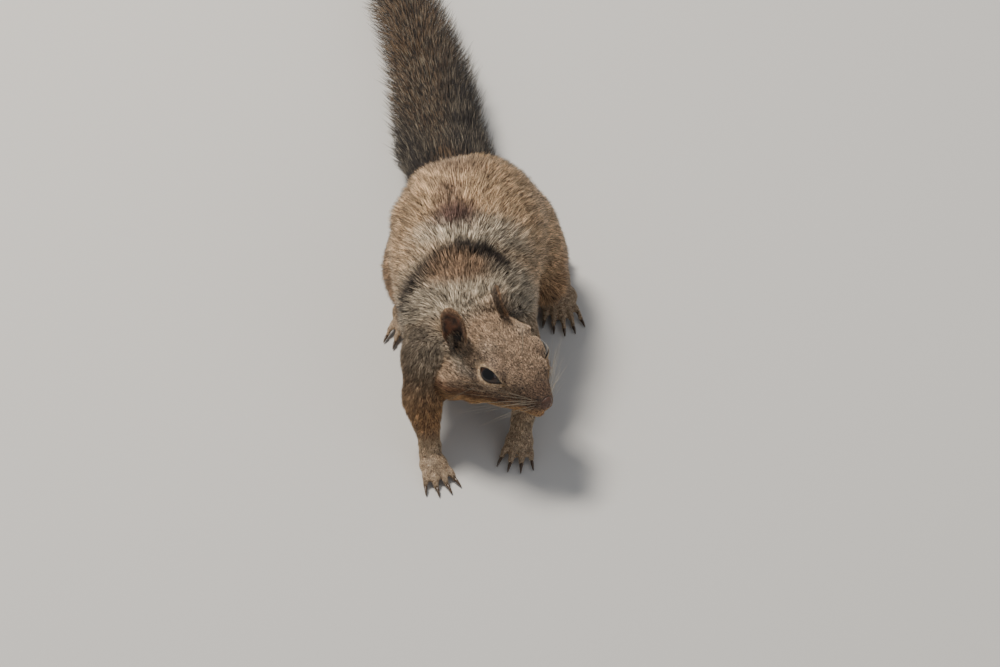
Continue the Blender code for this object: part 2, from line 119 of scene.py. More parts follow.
def soft_light(name, place, size, watts, colour):
    """A square area light that faces the animal."""
    data = bpy.data.lights.new(name, "AREA")
    data.size = size
    data.energy = watts
    data.color = colour
    light = add_object(name, data)
    light.location = place
    light.rotation_euler = (ANIMAL_MIDDLE - light.location).to_track_quat("-Z", "Y").to_euler()


deselect_all()
bpy.ops.mesh.primitive_plane_add(size=FLOOR_SIZE, location=(0, 0, -FLOOR_DROP))
floor = bpy.context.active_object
floor.name = "floor"
floor.data.materials.append(lit_material("floor_matt", (0.62, 0.6, 0.57), 0.9)[0])

soft_light("key", (-0.75, 0.6, 1.75), 0.55, 52, WARM)
soft_light("fill", (1.4, -1.4, 1.0), 1.6, 6, COOL)
world = bpy.data.worlds.new("studio")
world.use_nodes = True
sky = world.node_tree.nodes["Background"]
sky.inputs["Color"].default_value = (*COOL, 1)
sky.inputs["Strength"].default_value = SKY_STRENGTH
bpy.context.scene.world = world
print("lights:", [item.name for item in bpy.data.lights])

# %% [markdown]
# The head is turned, so everything on it is placed in the head's own axes: how far to its left, back
# from the nose tip, and up. The eyes and the nose of the solids give those axes.

# %% The head's own axes
SIDES = {"left": 1.0, "right": -1.0}
FACE_SLOPE = math.radians(11.7)
TIP_AHEAD, TIP_BELOW = 2.4 * MM, 0.4 * MM  # the nose tip, from the middle of the nose


def middle(node):
    low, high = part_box(node)
    return (low + high) / 2


def length_of(vectors):
    return np.linalg.norm(vectors, axis=1)


EYES = {side: middle("eye_" + side) for side in SIDES}
across = (EYES["left"] - EYES["right"]).normalized()
ahead = middle("nose") - (EYES["left"] + EYES["right"]) / 2
ahead = (ahead - across * ahead.dot(across)).normalized()
ahead = Matrix.Rotation(-FACE_SLOPE, 3, across) @ ahead
upward = ahead.cross(across)
HEAD_AXES = np.array([across, -ahead, upward])
NOSE_TIP = np.array(middle("nose") + ahead * TIP_AHEAD - upward * TIP_BELOW)


def in_head(points):
    """Millimetres left, back and up from the nose tip."""
    return (points - NOSE_TIP) @ HEAD_AXES.T / MM


def from_head(places):
    return np.asarray(places) * MM @ HEAD_AXES + NOSE_TIP


eye_spots = {side: in_head(np.array(EYES[side])) for side in SIDES}
print("eyes sit at", {side: rounded(spot) for side, spot in eye_spots.items()})

# %% [markdown]
# Coat and skin differ from zone to zone, so every copy made of a solid carries its zone along as an
# attribute. Meshes are read into arrays and written back whole, with foreach_get and foreach_set, which is
# far quicker than a loop over their points.

# %% Zones, and meshes as arrays
FLESH = {
    "head": ("head", "nose", "eye_left", "eye_right"),
    "neck": ("neck",),
    "trunk": ("trunk",),
    "ear": ("ear_left", "ear_right"),
    "foreleg": ("foreleg_left", "foreleg_right"),
    "hindleg": ("hindleg_left", "hindleg_right"),
    "foot": ("forefoot_left", "forefoot_right", "hindfoot_left", "hindfoot_right"),
}
ZONES = (*FLESH, "tail")
WELD = 0.01 * MM


def read(items, field, width, kind=float):
    """One field of every item of a mesh, as an array with a row for each."""
    values = np.empty(len(items) * width, kind)
    items.foreach_get(field, values)
    return values.reshape(-1, width)


def mesh_points(mesh):
    return read(mesh.vertices, "co", 3)


def mesh_normals(mesh):
    return read(mesh.vertex_normals, "vector", 3)


def mesh_edges(mesh):
    return read(mesh.edges, "vertices", 2, int)


def put_points(mesh, points):
    mesh.vertices.foreach_set("co", np.ascontiguousarray(points).ravel())
    mesh.update()


def point_values(mesh, name):
    return read(mesh.attributes[name].data, "value", 1).ravel()


def set_point_values(mesh, name, values):
    layer = mesh.attributes.get(name) or mesh.attributes.new(name, "FLOAT", "POINT")
    layer.data.foreach_set("value", np.ascontiguousarray(values, dtype=np.float32))


def mark_zone(mesh, zone):
    for name in ZONES:
        set_point_values(mesh, "zone_" + name, np.full(len(mesh.vertices), float(name == zone)))


def welded_copy(node, name, swell=0.0):
    """A welded copy of a solid, swollen along its normals by some millimetres."""
    mesh = bpy.data.meshes.new(name)
    shape = bmesh.new()
    shape.from_mesh(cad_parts[node].data)
    bmesh.ops.remove_doubles(shape, verts=shape.verts, dist=WELD)
    shape.normal_update()
    for vert in shape.verts:
        vert.co += vert.normal * swell * MM
    shape.to_mesh(mesh)
    shape.free()
    return add_object(name, mesh)


print("zones:", *ZONES)

# %% [markdown]
# The tail solid is the outline of its hair, and the tail itself is a thin tapered rod inside. Cutting the
# solid's edges across at several places gives the middle and the half sizes of that outline, which the
# hair has to reach later. The rod is a curve through those middles, with a round bevel that each point's
# own radius scales.

# %% The tail's outline and its rod
TAIL_NODES = ("tail_base", "tail_middle", "tail_tip")
tail_meshes = [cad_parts[node].data for node in TAIL_NODES]
tail_edges = np.vstack([mesh_points(mesh)[mesh_edges(mesh)] for mesh in tail_meshes])
TAIL_FROM, TAIL_TO = tail_edges[:, :, 1].min(), tail_edges[:, :, 1].max()
SLICE_OFFSETS = np.arange(-8, 9, 4) * MM
FEWEST_CROSSINGS = 6
FIRST_SECTION = TAIL_FROM + 14 * MM


def tail_slice(place):
    """The lowest and highest corner of the tail's hair outline, cut across at one place along it."""
    start, end = tail_edges[:, 0], tail_edges[:, 1]
    crossing = (start[:, 1] - place) * (end[:, 1] - place) < 0
    start, end = start[crossing], end[crossing]
    share = (place - start[:, 1]) / (end[:, 1] - start[:, 1])
    cut = start + (end - start) * share[:, None]
    return (cut.min(0), cut.max(0)) if len(cut) >= FEWEST_CROSSINGS else None


def tail_section(place):
    """Middle and half sizes, across and up, of the tail's hair outline near one place along it."""
    cuts = [tail_slice(max(place, FIRST_SECTION) + offset) for offset in SLICE_OFFSETS]
    low, high = np.mean([cut for cut in cuts if cut], 0)
    return (low + high) / 2, (high - low) / 2


TAIL_STATIONS = np.linspace(TAIL_FROM - 12 * MM, TAIL_TO - 20 * MM, 14)
tail_middles, tail_halves = np.array([tail_section(place) for place in TAIL_STATIONS]).swapaxes(0, 1)
ROD_AT_RUMP, ROD_AT_TIP, ROD_FALL = 12.0, 2.0, 2.2
ROD_ROUNDNESS = 6


def rod_radius(share):
    """The radius of the tail under its hair, in millimetres, at a share of the way along it."""
    return ROD_AT_TIP + (ROD_AT_RUMP - ROD_AT_TIP) * (1 - share) ** ROD_FALL


def tube_curve(name, radius, roundness):
    """An empty curve whose splines become closed round tubes."""
    data = bpy.data.curves.new(name, "CURVE")
    data.dimensions = "3D"
    data.bevel_depth = radius
    data.bevel_resolution = roundness
    data.use_fill_caps = True
    return data


def add_spline(data, places, radii):
    spline = data.splines.new("POLY")
    spline.points.add(len(places) - 1)
    for point, place, radius in zip(spline.points, places, radii):
        point.co = (*place, 1)
        point.radius = radius


def tube_mesh(name, data):
    piece = add_object(name, data)
    select_only(piece)
    bpy.ops.object.convert(target="MESH")
    return piece


rod_path = tube_curve("tail_rod", 1.0 * MM, ROD_ROUNDNESS)
rod_places = np.stack([tail_middles[:, 0], TAIL_STATIONS, tail_middles[:, 2]], axis=1)
add_spline(rod_path, rod_places, rod_radius(np.arange(len(rod_places)) / (len(rod_places) - 1)))
rod = tube_mesh("tail_rod", rod_path)
mark_zone(rod.data, "tail")
print("tail hair from", (TAIL_FROM / MM).round(1), "to", (TAIL_TO / MM).round(1), "mm along the body")

# %% [markdown]
# The skin must be one surface with no seam, but the solids are parted by thin cuts. Copies of the flesh
# solids are swollen by a hair's breadth until they touch, and a voxel remesh melts them and the rod into
# one. A Boolean union would keep every facet and every crease between them. The eyeballs go in as well,
# so that lids can be cut over them.

# %% Melt the flesh into one skin
SWELL = {"head": 0.2, "neck": 0.35, "trunk": 0.35, "ear": 0.05, "foreleg": 0.3, "hindleg": 0.3, "foot": 0.4}
SKIN_VOXEL = 0.6 * MM

copies = []
for zone, nodes in FLESH.items():
    for node in nodes:
        copies.append(welded_copy(node, "flesh_" + node, SWELL[zone]))
        mark_zone(copies[-1].data, zone)
select_only(*copies, rod)
bpy.ops.object.join()
skin = bpy.context.active_object
skin.name = skin.data.name = "skin"
skin.data.remesh_voxel_size = SKIN_VOXEL
skin.data.use_remesh_preserve_attributes = True
skin.data.use_remesh_preserve_volume = False
bpy.ops.object.voxel_remesh()
print("skin after the remesh:", len(skin.data.vertices), "points")

# %% [markdown]
# Next the facets of the solids are smoothed away: broadly on the trunk, lightly on the face and feet. The
# skin then sinks under the outline by the depth of the coat, which is thin on face, ears and feet and
# thickest on the back. Both amounts are blended over the zones, so nothing steps at their borders.

# %% Smooth the skin and sink it by the depth of the coat
ZONE_DEPTH = (0.9, 3.2, 4.2, 0.0, 2.2, 3.4, 0.15, 0.0)  # in the order of ZONES, as is the next row
ZONE_SMOOTHING = (0.2, 0.9, 1.0, 0.12, 0.6, 0.9, 0.08, 0.5)
HEAD, NECK, FOOT_ZONE = (ZONES.index(name) for name in ("head", "neck", "foot"))
NAPE = (34, 50)  # how far back from the nose the head's coat grows as deep as the neck's
ABOVE_FLOOR = 0.15 * MM


def relax(values, edges, rounds, share):
    """Moves each point's values towards its neighbours' mean, by a share that may differ by point."""
    count = len(values)
    columns = values.reshape(count, -1).copy()
    degree = np.bincount(edges.ravel(), minlength=count)
    share = np.broadcast_to(share, count)
    for _ in range(rounds):
        for column in range(columns.shape[1]):
            known = columns[:, column]
            total = np.bincount(edges[:, 0], known[edges[:, 1]], count)
            total += np.bincount(edges[:, 1], known[edges[:, 0]], count)
            columns[:, column] = known + share * (total / degree - known)
    return columns.reshape(values.shape)


edges = mesh_edges(skin.data)
zones = np.stack([point_values(skin.data, "zone_" + name) for name in ZONES], axis=1)
zones = relax(zones, edges, 12, 0.7)
zones /= zones.sum(1, keepdims=True)
points = relax(mesh_points(skin.data), edges, 60, 0.9 * (zones @ ZONE_SMOOTHING))
put_points(skin.data, points)
nape = zones[:, HEAD] * np.interp(in_head(points)[:, 1], NAPE, (0, 1))
depth = zones @ ZONE_DEPTH + nape * (ZONE_DEPTH[NECK] - ZONE_DEPTH[HEAD])
depth = relax(depth, edges, 40, 0.7)
normals = relax(mesh_normals(skin.data), edges, 8, 0.6)
normals /= length_of(normals)[:, None]
points = points - normals * depth[:, None] * MM
points[:, 2] = np.maximum(points[:, 2], ABOVE_FLOOR)
put_points(skin.data, points)
print("skin sinks by", depth.min().round(2), "to", depth.max().round(2), "mm")

# %% [markdown]
# The trunk is smooth, so it needs few faces, while the face and ears need all of theirs, and the feet and
# the back of the head come between. A Decimate modifier thins each of the two plainer regions in turn,
# weighted by a vertex group. The faces round the eyes and the muzzle are then subdivided again, for lids,
# nostrils and the line of the mouth.

# %% Fewer faces on the trunk, more on the face
FINE_ZONES = ("head", "ear", "foot")
FACES_KEPT = {"plain": 0.12, "middling": 0.4}
FACE_ENDS = (34.0, 42.0)
THINNING_LEVELS = 5
EYE_REFINED, LIDS_REFINED, MUZZLE_REFINED = 11.0, 7.8, 15.0


def ease(values, start, end):
    """0 before start, 1 after end, and smooth between them."""
    share = np.clip((values - start) / (end - start), 0, 1)
    return share * share * (3 - 2 * share)


def ridge(gap, width):
    """1 where a gap is nothing, and falling off smoothly over the width on both sides."""
    return np.exp(-((gap / width) ** 2))


def ellipsoid_gap(places, spot, reach):
    """0 at a spot, 1 on the ellipsoid about it, and more outside."""
    return np.sqrt((((places - spot) / reach) ** 2).sum(1))


def apply_modifier(piece, kind, **settings):
    select_only(piece)
    modifier = piece.modifiers.new(kind.lower(), kind)
    for key, value in settings.items():
        setattr(modifier, key, value)
    bpy.ops.object.modifier_apply(modifier=modifier.name)


def subdivide_where(piece, chosen):
    """Subdivides the faces whose centres pass the test."""
    shape = bmesh.new()
    shape.from_mesh(piece.data)
    centres = np.array([face.calc_center_median() for face in shape.faces])
    keep = chosen(centres)
    shape.select_mode = {"FACE"}
    for face in shape.faces:
        face.select_set(bool(keep[face.index]))
    shape.select_flush_mode()
    shape.to_mesh(piece.data)
    shape.free()
    deselect_all()
    bpy.context.view_layer.objects.active = piece
    bpy.ops.object.mode_set(mode="EDIT")
    bpy.ops.mesh.subdivide(number_cuts=1)
    bpy.ops.object.mode_set(mode="OBJECT")


fine = sum(zones[:, ZONES.index(name)] for name in FINE_ZONES)
nape = zones[:, HEAD] * ease(in_head(points)[:, 1], *FACE_ENDS)
regions = {"plain": 1 - fine, "middling": nape + zones[:, FOOT_ZONE]}
for name, weights in regions.items():
    group = skin.vertex_groups.new(name=name)
    levels = np.round(weights * THINNING_LEVELS)
    for level in range(1, THINNING_LEVELS + 1):
        group.add(np.nonzero(levels == level)[0].tolist(), level / THINNING_LEVELS, "REPLACE")
for name, weights in regions.items():
    share = weights.sum() / len(skin.data.vertices)
    apply_modifier(skin, "DECIMATE", ratio=1 - share * (1 - FACES_KEPT[name]), vertex_group=name)
    print("thinned", name, "to", len(skin.data.polygons))


def near_an_eye(centres, reach):
    places = in_head(centres)
    return np.any([length_of(places - spot) < reach for spot in eye_spots.values()], axis=0)


for reach in (EYE_REFINED, LIDS_REFINED):
    subdivide_where(skin, lambda centres: near_an_eye(centres, reach))
subdivide_where(skin, lambda centres: in_head(centres)[:, 1] < MUZZLE_REFINED)
apply_modifier(skin, "TRIANGULATE")
print("skin:", len(skin.data.polygons), "triangles")

# %% [markdown]
# A squirrel's eye is a big dark ball that fills its socket, and only an almond of it shows. The almond is
# set out on the ball about the line of sight, by its long way, its middle and how far each lid arches.

# %% The almond of each eye
EYE_RADIUS = (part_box("eye_left")[1].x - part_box("eye_left")[0].x) / 2 / MM
LOOK_OUT = np.array([0.72, -0.20, 0.665])
ALMOND_LINE = np.array([-0.145, -0.975, -0.137])
ALMOND_MIDDLE, ALMOND_HALF_LENGTH = 0.08, 0.90
UPPER_LID, LOWER_LID = 0.35, 0.45
EYE_FRONT = -0.25  # the ball counts as covered by lids this far round to its back

LOOK_OUT /= np.linalg.norm(LOOK_OUT)
ALMOND_LINE -= LOOK_OUT * (ALMOND_LINE @ LOOK_OUT)
ALMOND_LINE /= np.linalg.norm(ALMOND_LINE)
ALMOND_RISE = np.cross(ALMOND_LINE, LOOK_OUT)


def around_eye(places, side):
    """For each place: its distance from the eye's middle, how far outside the lids' edge it lies
    (negative inside the almond), whether it is on the outer side of the ball, and its place across
    and along the almond."""
    offset = (places - eye_spots[side]) * (SIDES[side], 1, 1)
    distance = length_of(offset)
    facing = offset / distance[:, None]
    length, rise, out = facing @ ALMOND_LINE, facing @ ALMOND_RISE, facing @ LOOK_OUT
    arch = 1 - ((length - ALMOND_MIDDLE) / ALMOND_HALF_LENGTH) ** 2
    outside = np.maximum(rise - UPPER_LID * arch, -rise - LOWER_LID * arch) * EYE_RADIUS
    return distance, outside, out, rise, length


print("eye radius", round(EYE_RADIUS, 2), "mm")

# %% [markdown]
# First brow, temple and cheek are filled out a little. Then the points of the skin over the ball are
# moved along their own line from its middle: outside the almond they come to lie a lid's thickness above
# the ball, with a crease where the upper lid folds, and inside it they drop behind the ball, so the edge
# of each lid is a real wall. Moving points keeps the skin whole, where a cut hole would leave a seam.

# %% Lids
LID_EDGE, LID_THICK, LID_WIDTH = 0.28, 0.6, 0.9
CREASE_AT, CREASE_DEEP = 2.5, 0.35
SOCKET_BEHIND = 1.1
EDGE_SNAP = 0.16
FILLET_FROM, FILLET_TO = 1.3, 11.5
FULLER = (  # spot, reach and height of the swellings of brow and temple, and of the stretched cheek
    ((9.0, 37.0, 12.0), (6.0, 9.0, 7.0), 2.1),
    ((-9.0, 37.0, 12.0), (6.0, 9.0, 7.0), 1.9),
    ((8.5, 16.5, 8.0), (5.0, 8.0, 6.0), 1.8),
    ((-8.5, 16.5, 8.0), (5.0, 8.0, 6.0), 1.2),
    ((15.0, 34.0, 10.0), (6.0, 9.0, 6.0), 1.6),
    ((-18.0, 42.0, -5.0), (9.0, 12.0, 10.0), 4.2),
)

places = in_head(mesh_points(skin.data))
edges = mesh_edges(skin.data)
ways = relax(mesh_normals(skin.data) @ HEAD_AXES.T, edges, 10, 0.6)
fuller = np.zeros(len(places))
for spot, reach, swell in FULLER:
    fuller += swell * (1 - ease(ellipsoid_gap(places, spot, reach), 0.1, 1.0))
fuller *= ease(point_values(skin.data, "zone_head") + point_values(skin.data, "zone_neck"), 0.3, 0.7)
places = places + ways * relax(fuller, edges, 12, 0.6)[:, None]
fillet = np.zeros(len(places))
for side in SIDES:
    distance, outside, out, rise = around_eye(places, side)[:4]
    near = (out > EYE_FRONT) & (distance < EYE_RADIUS + 4)
    snapped = near & (np.abs(outside) < EDGE_SNAP)
    slide = -outside * np.where(rise > 0, 1, -1) * snapped
    places = places + slide[:, None] * ALMOND_RISE * (SIDES[side], 1, 1)
    outside = np.where(snapped, 0, outside)
    lid = EYE_RADIUS + LID_EDGE + (LID_THICK - LID_EDGE) * ease(outside, 0, LID_WIDTH)
    lid -= CREASE_DEEP * ridge(outside - CREASE_AT, 0.55) * (rise > 0)
    lid -= (LID_EDGE + SOCKET_BEHIND) * ease(-outside, 0, 0.3)
    hold = near * (1 - ease(outside, 1.6, 4.2))
    moved = distance + hold * (lid - distance)
    shift = (places - eye_spots[side]) * (moved / distance)[:, None]
    places = eye_spots[side] + shift
    beyond = 1 - ease(distance, EYE_RADIUS + 2, FILLET_TO)
    fillet += ease(outside, FILLET_FROM, FILLET_FROM + 1.2) * beyond
places = relax(places, edges, 40, 0.8 * fillet)
lid_foot = EYE_RADIUS + LID_EDGE + 0.2
for side in SIDES:
    distance, outside, out = around_eye(places, side)[:3]
    sunk = (outside > 0.25) & (out > -0.5) & (distance < lid_foot)
    lifted = np.where(sunk, lid_foot / distance, 1)
    places = eye_spots[side] + (places - eye_spots[side]) * lifted[:, None]
put_points(skin.data, from_head(places))
print("outside the almond the skin stands", round(lid_foot - EYE_RADIUS, 2), "mm or more off the ball")

# %% [markdown]
# The nose is a bare leathery pad with a comma-shaped nostril on each side and a groove down its middle,
# and the mouth is a long closed line below it. They are pressed into the skin along its normals, each
# as a soft dent about a spot or a line, in the head's own axes.

# %% Nose and mouth
NOSTRIL = (2.2, 0.75, 0.5), (0.7, 1.25, 0.62)  # spot and spread, here and in the next rows
NOSTRIL_TAIL = (2.9, 2.4, 1.0), (0.5, 1.5, 0.5)
NOSTRIL_WING = (1.6, 0.2, -1.1), (0.9, 1.2, 0.9)
NOSTRIL_DEEP, NOSTRIL_TAIL_DEEP, GROOVE_DEEP, MOUTH_DEEP, PAD_EDGE_DEEP = 2.2, 0.6, 0.5, 0.85, 0.3
NOSTRIL_WING_HIGH, LIP_HIGH = 0.25, 0.25
MOUTH_BACK = (0.6, 2.0, 3.9, 7.5, 11.0, 14.5)
MOUTH_RISE = (-4.4, -3.9, -3.0, -2.5, -2.6, -3.6)
NOSE_PAD = (0.0, 1.2, 0.6), (3.5, 3.0, 3.3)


def dent(places, spot, spread):
    """1 at a spot and falling off smoothly over the spread, on both sides of the face."""
    mirrored = np.hstack([np.abs(places[:, 0:1]), places[:, 1:]])
    return ridge(ellipsoid_gap(mirrored, spot, spread), 1)


def above_mouth(places):
    """How far above the line of the mouth each place lies."""
    return places[:, 2] - np.interp(places[:, 1], MOUTH_BACK, MOUTH_RISE)


places = in_head(mesh_points(skin.data))
normals = mesh_normals(skin.data)
mouth_gap = above_mouth(places)
mouth = ease(places[:, 1], 0.2, 1.2) * (1 - ease(places[:, 1], 12.0, 15.0))
front = 1 - ease(places[:, 1], 1.8, 3.2)
groove = front * ease(places[:, 2], -4.6, -3.8) * (1 - ease(places[:, 2], 0.4, 1.6))
nostril = dent(places, *NOSTRIL)
# the nostrils are later painted near black, which is painted shade in their openings
set_point_values(skin.data, "nostril", ease(nostril, 0.3, 0.65))
sink = NOSTRIL_DEEP * nostril
sink += NOSTRIL_TAIL_DEEP * dent(places, *NOSTRIL_TAIL)
sink += GROOVE_DEEP * ridge(places[:, 0], 0.3) * groove
sink += MOUTH_DEEP * ridge(mouth_gap, 0.38) * mouth
sink -= LIP_HIGH * ridge(mouth_gap - 1.1, 0.6) * mouth
sink += PAD_EDGE_DEEP * ridge(ellipsoid_gap(places, *NOSE_PAD) - 1.12, 0.1)
sink -= NOSTRIL_WING_HIGH * dent(places, *NOSTRIL_WING)
put_points(skin.data, from_head(places) - normals * sink[:, None] * MM)
print("deepest dent", sink.max().round(2), "mm")

# %% [markdown]
# Ears are cups of skin and gristle. In the solids they are plain scoops, so here the scoop is deepened on
# its open side, a low fold runs up inside it, and the canal opens at its foot. Each ear's own axes come
# from its solid: the longest way is its height and the shortest its thickness.

# %% Ears
CUP_DEEP, FOLD_HIGH = 1.0, 0.45
CANAL_WIDE, CANAL_FOOT, CANAL_TOP = (1.4, 3.0), (-10.5, -7.0), (-2.0, 3.0)
CANAL_FLOOR = -2.3
EAR_SQUARE = 0.38
EAR_REACH = 22.0


def ear_axes(side):
    """The ear's middle, and its width, opening and height directions, as rows."""
    solid = mesh_points(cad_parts["ear_" + side].data)
    centre = solid.mean(0)
    ways = np.linalg.eigh(np.cov((solid - centre).T))[1]
    height = ways[:, 2] * np.sign(ways[2, 2])
    opening = ways[:, 0]
    wanted = np.array([SIDES[side], -0.5, 0.0]) @ HEAD_AXES
    opening = opening * np.sign(opening @ wanted)
    return centre, np.array([np.cross(height, opening), opening, height])


ears = {side: ear_axes(side) for side in SIDES}
points = mesh_points(skin.data)
normals = mesh_normals(skin.data)
ear_share = point_values(skin.data, "zone_ear")
inner, dark = np.zeros(len(points)), np.zeros(len(points))
for side, (centre, axes) in ears.items():
    local = (points - centre) @ axes.T / MM
    wide, thick, high = local.T
    close = length_of(local) < EAR_REACH
    nearby = close & (ear_share > 0.3)
    facing = ease(normals @ axes[1], 0.1, 0.55) * nearby
    hollow = np.clip(1 - (wide / 5.2) ** 2, 0, 1) * ease(high, -14, -6) * (1 - ease(high, 8, 14))
    push = (CUP_DEEP - FOLD_HIGH * ridge(wide - 1.6, 0.7)) * hollow
    points -= axes[1] * (push * facing)[:, None] * MM
    points += axes[0] * (wide * nearby * EAR_SQUARE * ease(high, 1, 14))[:, None] * MM
    canal = (1 - ease(np.abs(wide - 0.4), *CANAL_WIDE)) * ease(high, *CANAL_FOOT)
    canal *= (1 - ease(high, *CANAL_TOP)) * (close & (normals @ axes[1] > 0.1) & (thick > -3.5))
    points += axes[1] * (canal * np.minimum(CANAL_FLOOR - thick, 0))[:, None] * MM
    # painted shade: the canal is marked for near-black paint, the shade inside its opening
    dark = np.maximum(dark, ease(canal, 0.3, 0.75))
    inner = np.maximum(inner, facing)
put_points(skin.data, points)
inner = relax(inner, mesh_edges(skin.data), 3, 0.5)
ear_canal = relax(dark, mesh_edges(skin.data), 2, 0.5)
set_point_values(skin.data, "ear_canal", ear_canal)
print("open side of the ears:", int((inner > 0.5).sum()), "points")

# %% [markdown]
# A squirrel's coat is grizzled: each hair is dark at its root, has a pale band and ends dark or pale. So a
# place on the coat needs two colours, the pale one of its bands and the deep one between them. Each marking
# is a named pair of such tones.

# %% Tones of the coat
def tone(red, green, blue):
    """A colour named as on a paint chart, 0 to 255, made linear."""
    value = np.array([red, green, blue]) / 255
    return np.where(value < 0.04045, value / 12.92, ((value + 0.055) / 1.055) ** 2.4)


TAN = tone(238, 204, 164), tone(80, 57, 40)
OCHRE = tone(226, 186, 132), tone(138, 94, 56)
CREAM_ROWS = tone(246, 232, 208), tone(66, 50, 40)
SILVER = tone(212, 197, 174), tone(46, 37, 31)
SADDLE = tone(158, 126, 98), tone(58, 42, 34)
BLACK_BAND = tone(58, 48, 42), tone(20, 17, 16)
PURPLE_PATCH = tone(130, 101, 90), tone(54, 38, 34)
BELLY = tone(196, 142, 88), tone(122, 78, 46)
FLANK_DARK = tone(186, 146, 108), tone(70, 48, 34)
FORELEG = tone(204, 162, 118), tone(108, 72, 48)
FOOT = tone(228, 204, 172), tone(160, 132, 104)
CROWN = tone(208, 178, 148), tone(50, 37, 30)
MUZZLE = tone(140, 112, 90), tone(54, 38, 30)
CHEEK = tone(166, 124, 92), tone(70, 48, 36)
CHEEK_GREY = tone(222, 208, 188), tone(84, 64, 52)
JAW = tone(210, 168, 120), tone(132, 92, 60)
EYE_RING = tone(242, 218, 184), tone(204, 168, 126)
TEAR_SPOT = tone(120, 88, 72), tone(62, 42, 36)
NECK_OCHRE = tone(196, 160, 116), tone(104, 74, 50)
EAR_BACK = tone(146, 126, 106), tone(64, 52, 44)
EAR_RIM = tone(186, 150, 114), tone(106, 78, 58)
TAIL_EDGE = tone(62, 54, 48), tone(28, 25, 24)
SHOULDER = tone(178, 154, 128), tone(60, 44, 35)
TAIL_BUFF = tone(134, 109, 84), tone(60, 48, 39)
print("tan, pale and deep:", rounded(TAN[0], 2), rounded(TAN[1], 2))

# %% [markdown]
# Markings have soft borders that wander, because hairs of two tones mingle there. So they are laid by two
# shapes, an ellipsoid about a spot and a band along a line, and a smooth field of a few sine waves moves
# their borders about. A painted image would need seams and would not follow the hairs.

# %% Soft patches and bands
def patch(places, spot, reach, soft=0.45):
    """1 inside an ellipsoid about a spot, and 0 outside it, with a soft border."""
    return 1 - ease(ellipsoid_gap(places, spot, reach), 1 - soft, 1 + soft)


def waver(places, scale, seed):
    """A smooth field between -1 and 1 that wanders over a few times the scale."""
    dice = np.random.default_rng(seed)
    total = np.zeros(len(places))
    for _ in range(6):
        way = dice.normal(size=3)
        way *= dice.uniform(0.7, 1.6) / np.linalg.norm(way) / scale
        total += np.sin(places @ way + dice.uniform(0, 2 * math.pi))
    return total / 3.2


def band(places, line, width):
    """1 along a line of points seen from above, in millimetres, with a soft border that wanders."""
    width = width * (1 + 0.45 * waver(places, 5, 31))
    nearest = np.full(len(places), 1e9)
    for start, end in zip(np.array(line[:-1], float), np.array(line[1:], float)):
        run = end - start
        share = np.clip((places[:, :2] - start) @ run / (run @ run), 0, 1)
        nearest = np.minimum(nearest, length_of(places[:, :2] - start - share[:, None] * run))
    return 1 - ease(nearest, 0.55 * width, 1.45 * width)


def blurred(places, scale, seeds, far):
    """The places moved a little, so that what is painted by them gets wandering borders."""
    return places + np.stack([waver(places, scale, seed) for seed in seeds], axis=1) * far


border = np.array([(across, 0, 0) for across in (8, 10, 12)], float)
print("8, 10 and 12 mm from the middle of a 10 mm patch:", rounded(patch(border, (0, 0, 0), 10)))

# %% [markdown]
# The tones are painted one over another: on the head in the head's own axes, and on the body along and
# across it. The same rule colours the skin and every tuft, so the skin matches the tufts on it. The pale
# rows across the back depend on where a hair's tip lies, as they do on the animal.

# %% Where each tone lies
BACK_ARCH = ((-30, -137), (-24, -129), (-16, -121), (-8, -116.5), (0, -115), (8, -116.5), (16, -120))
SPINE_X = -2.0
ROW_SPACING, ROW_STRENGTH = 4.1, 0.13
CREAM_SPOT, CREAM_REACH, CREAM_STRENGTH = (-1, -100, 80), (19, 11, 16), 0.55
CHEEK_BACK, CHEEK_RISE = (0, 8, 20, 30, 45), (-1, -2, -6, -8, -9.5)
BAND_WIDTH = 2.3


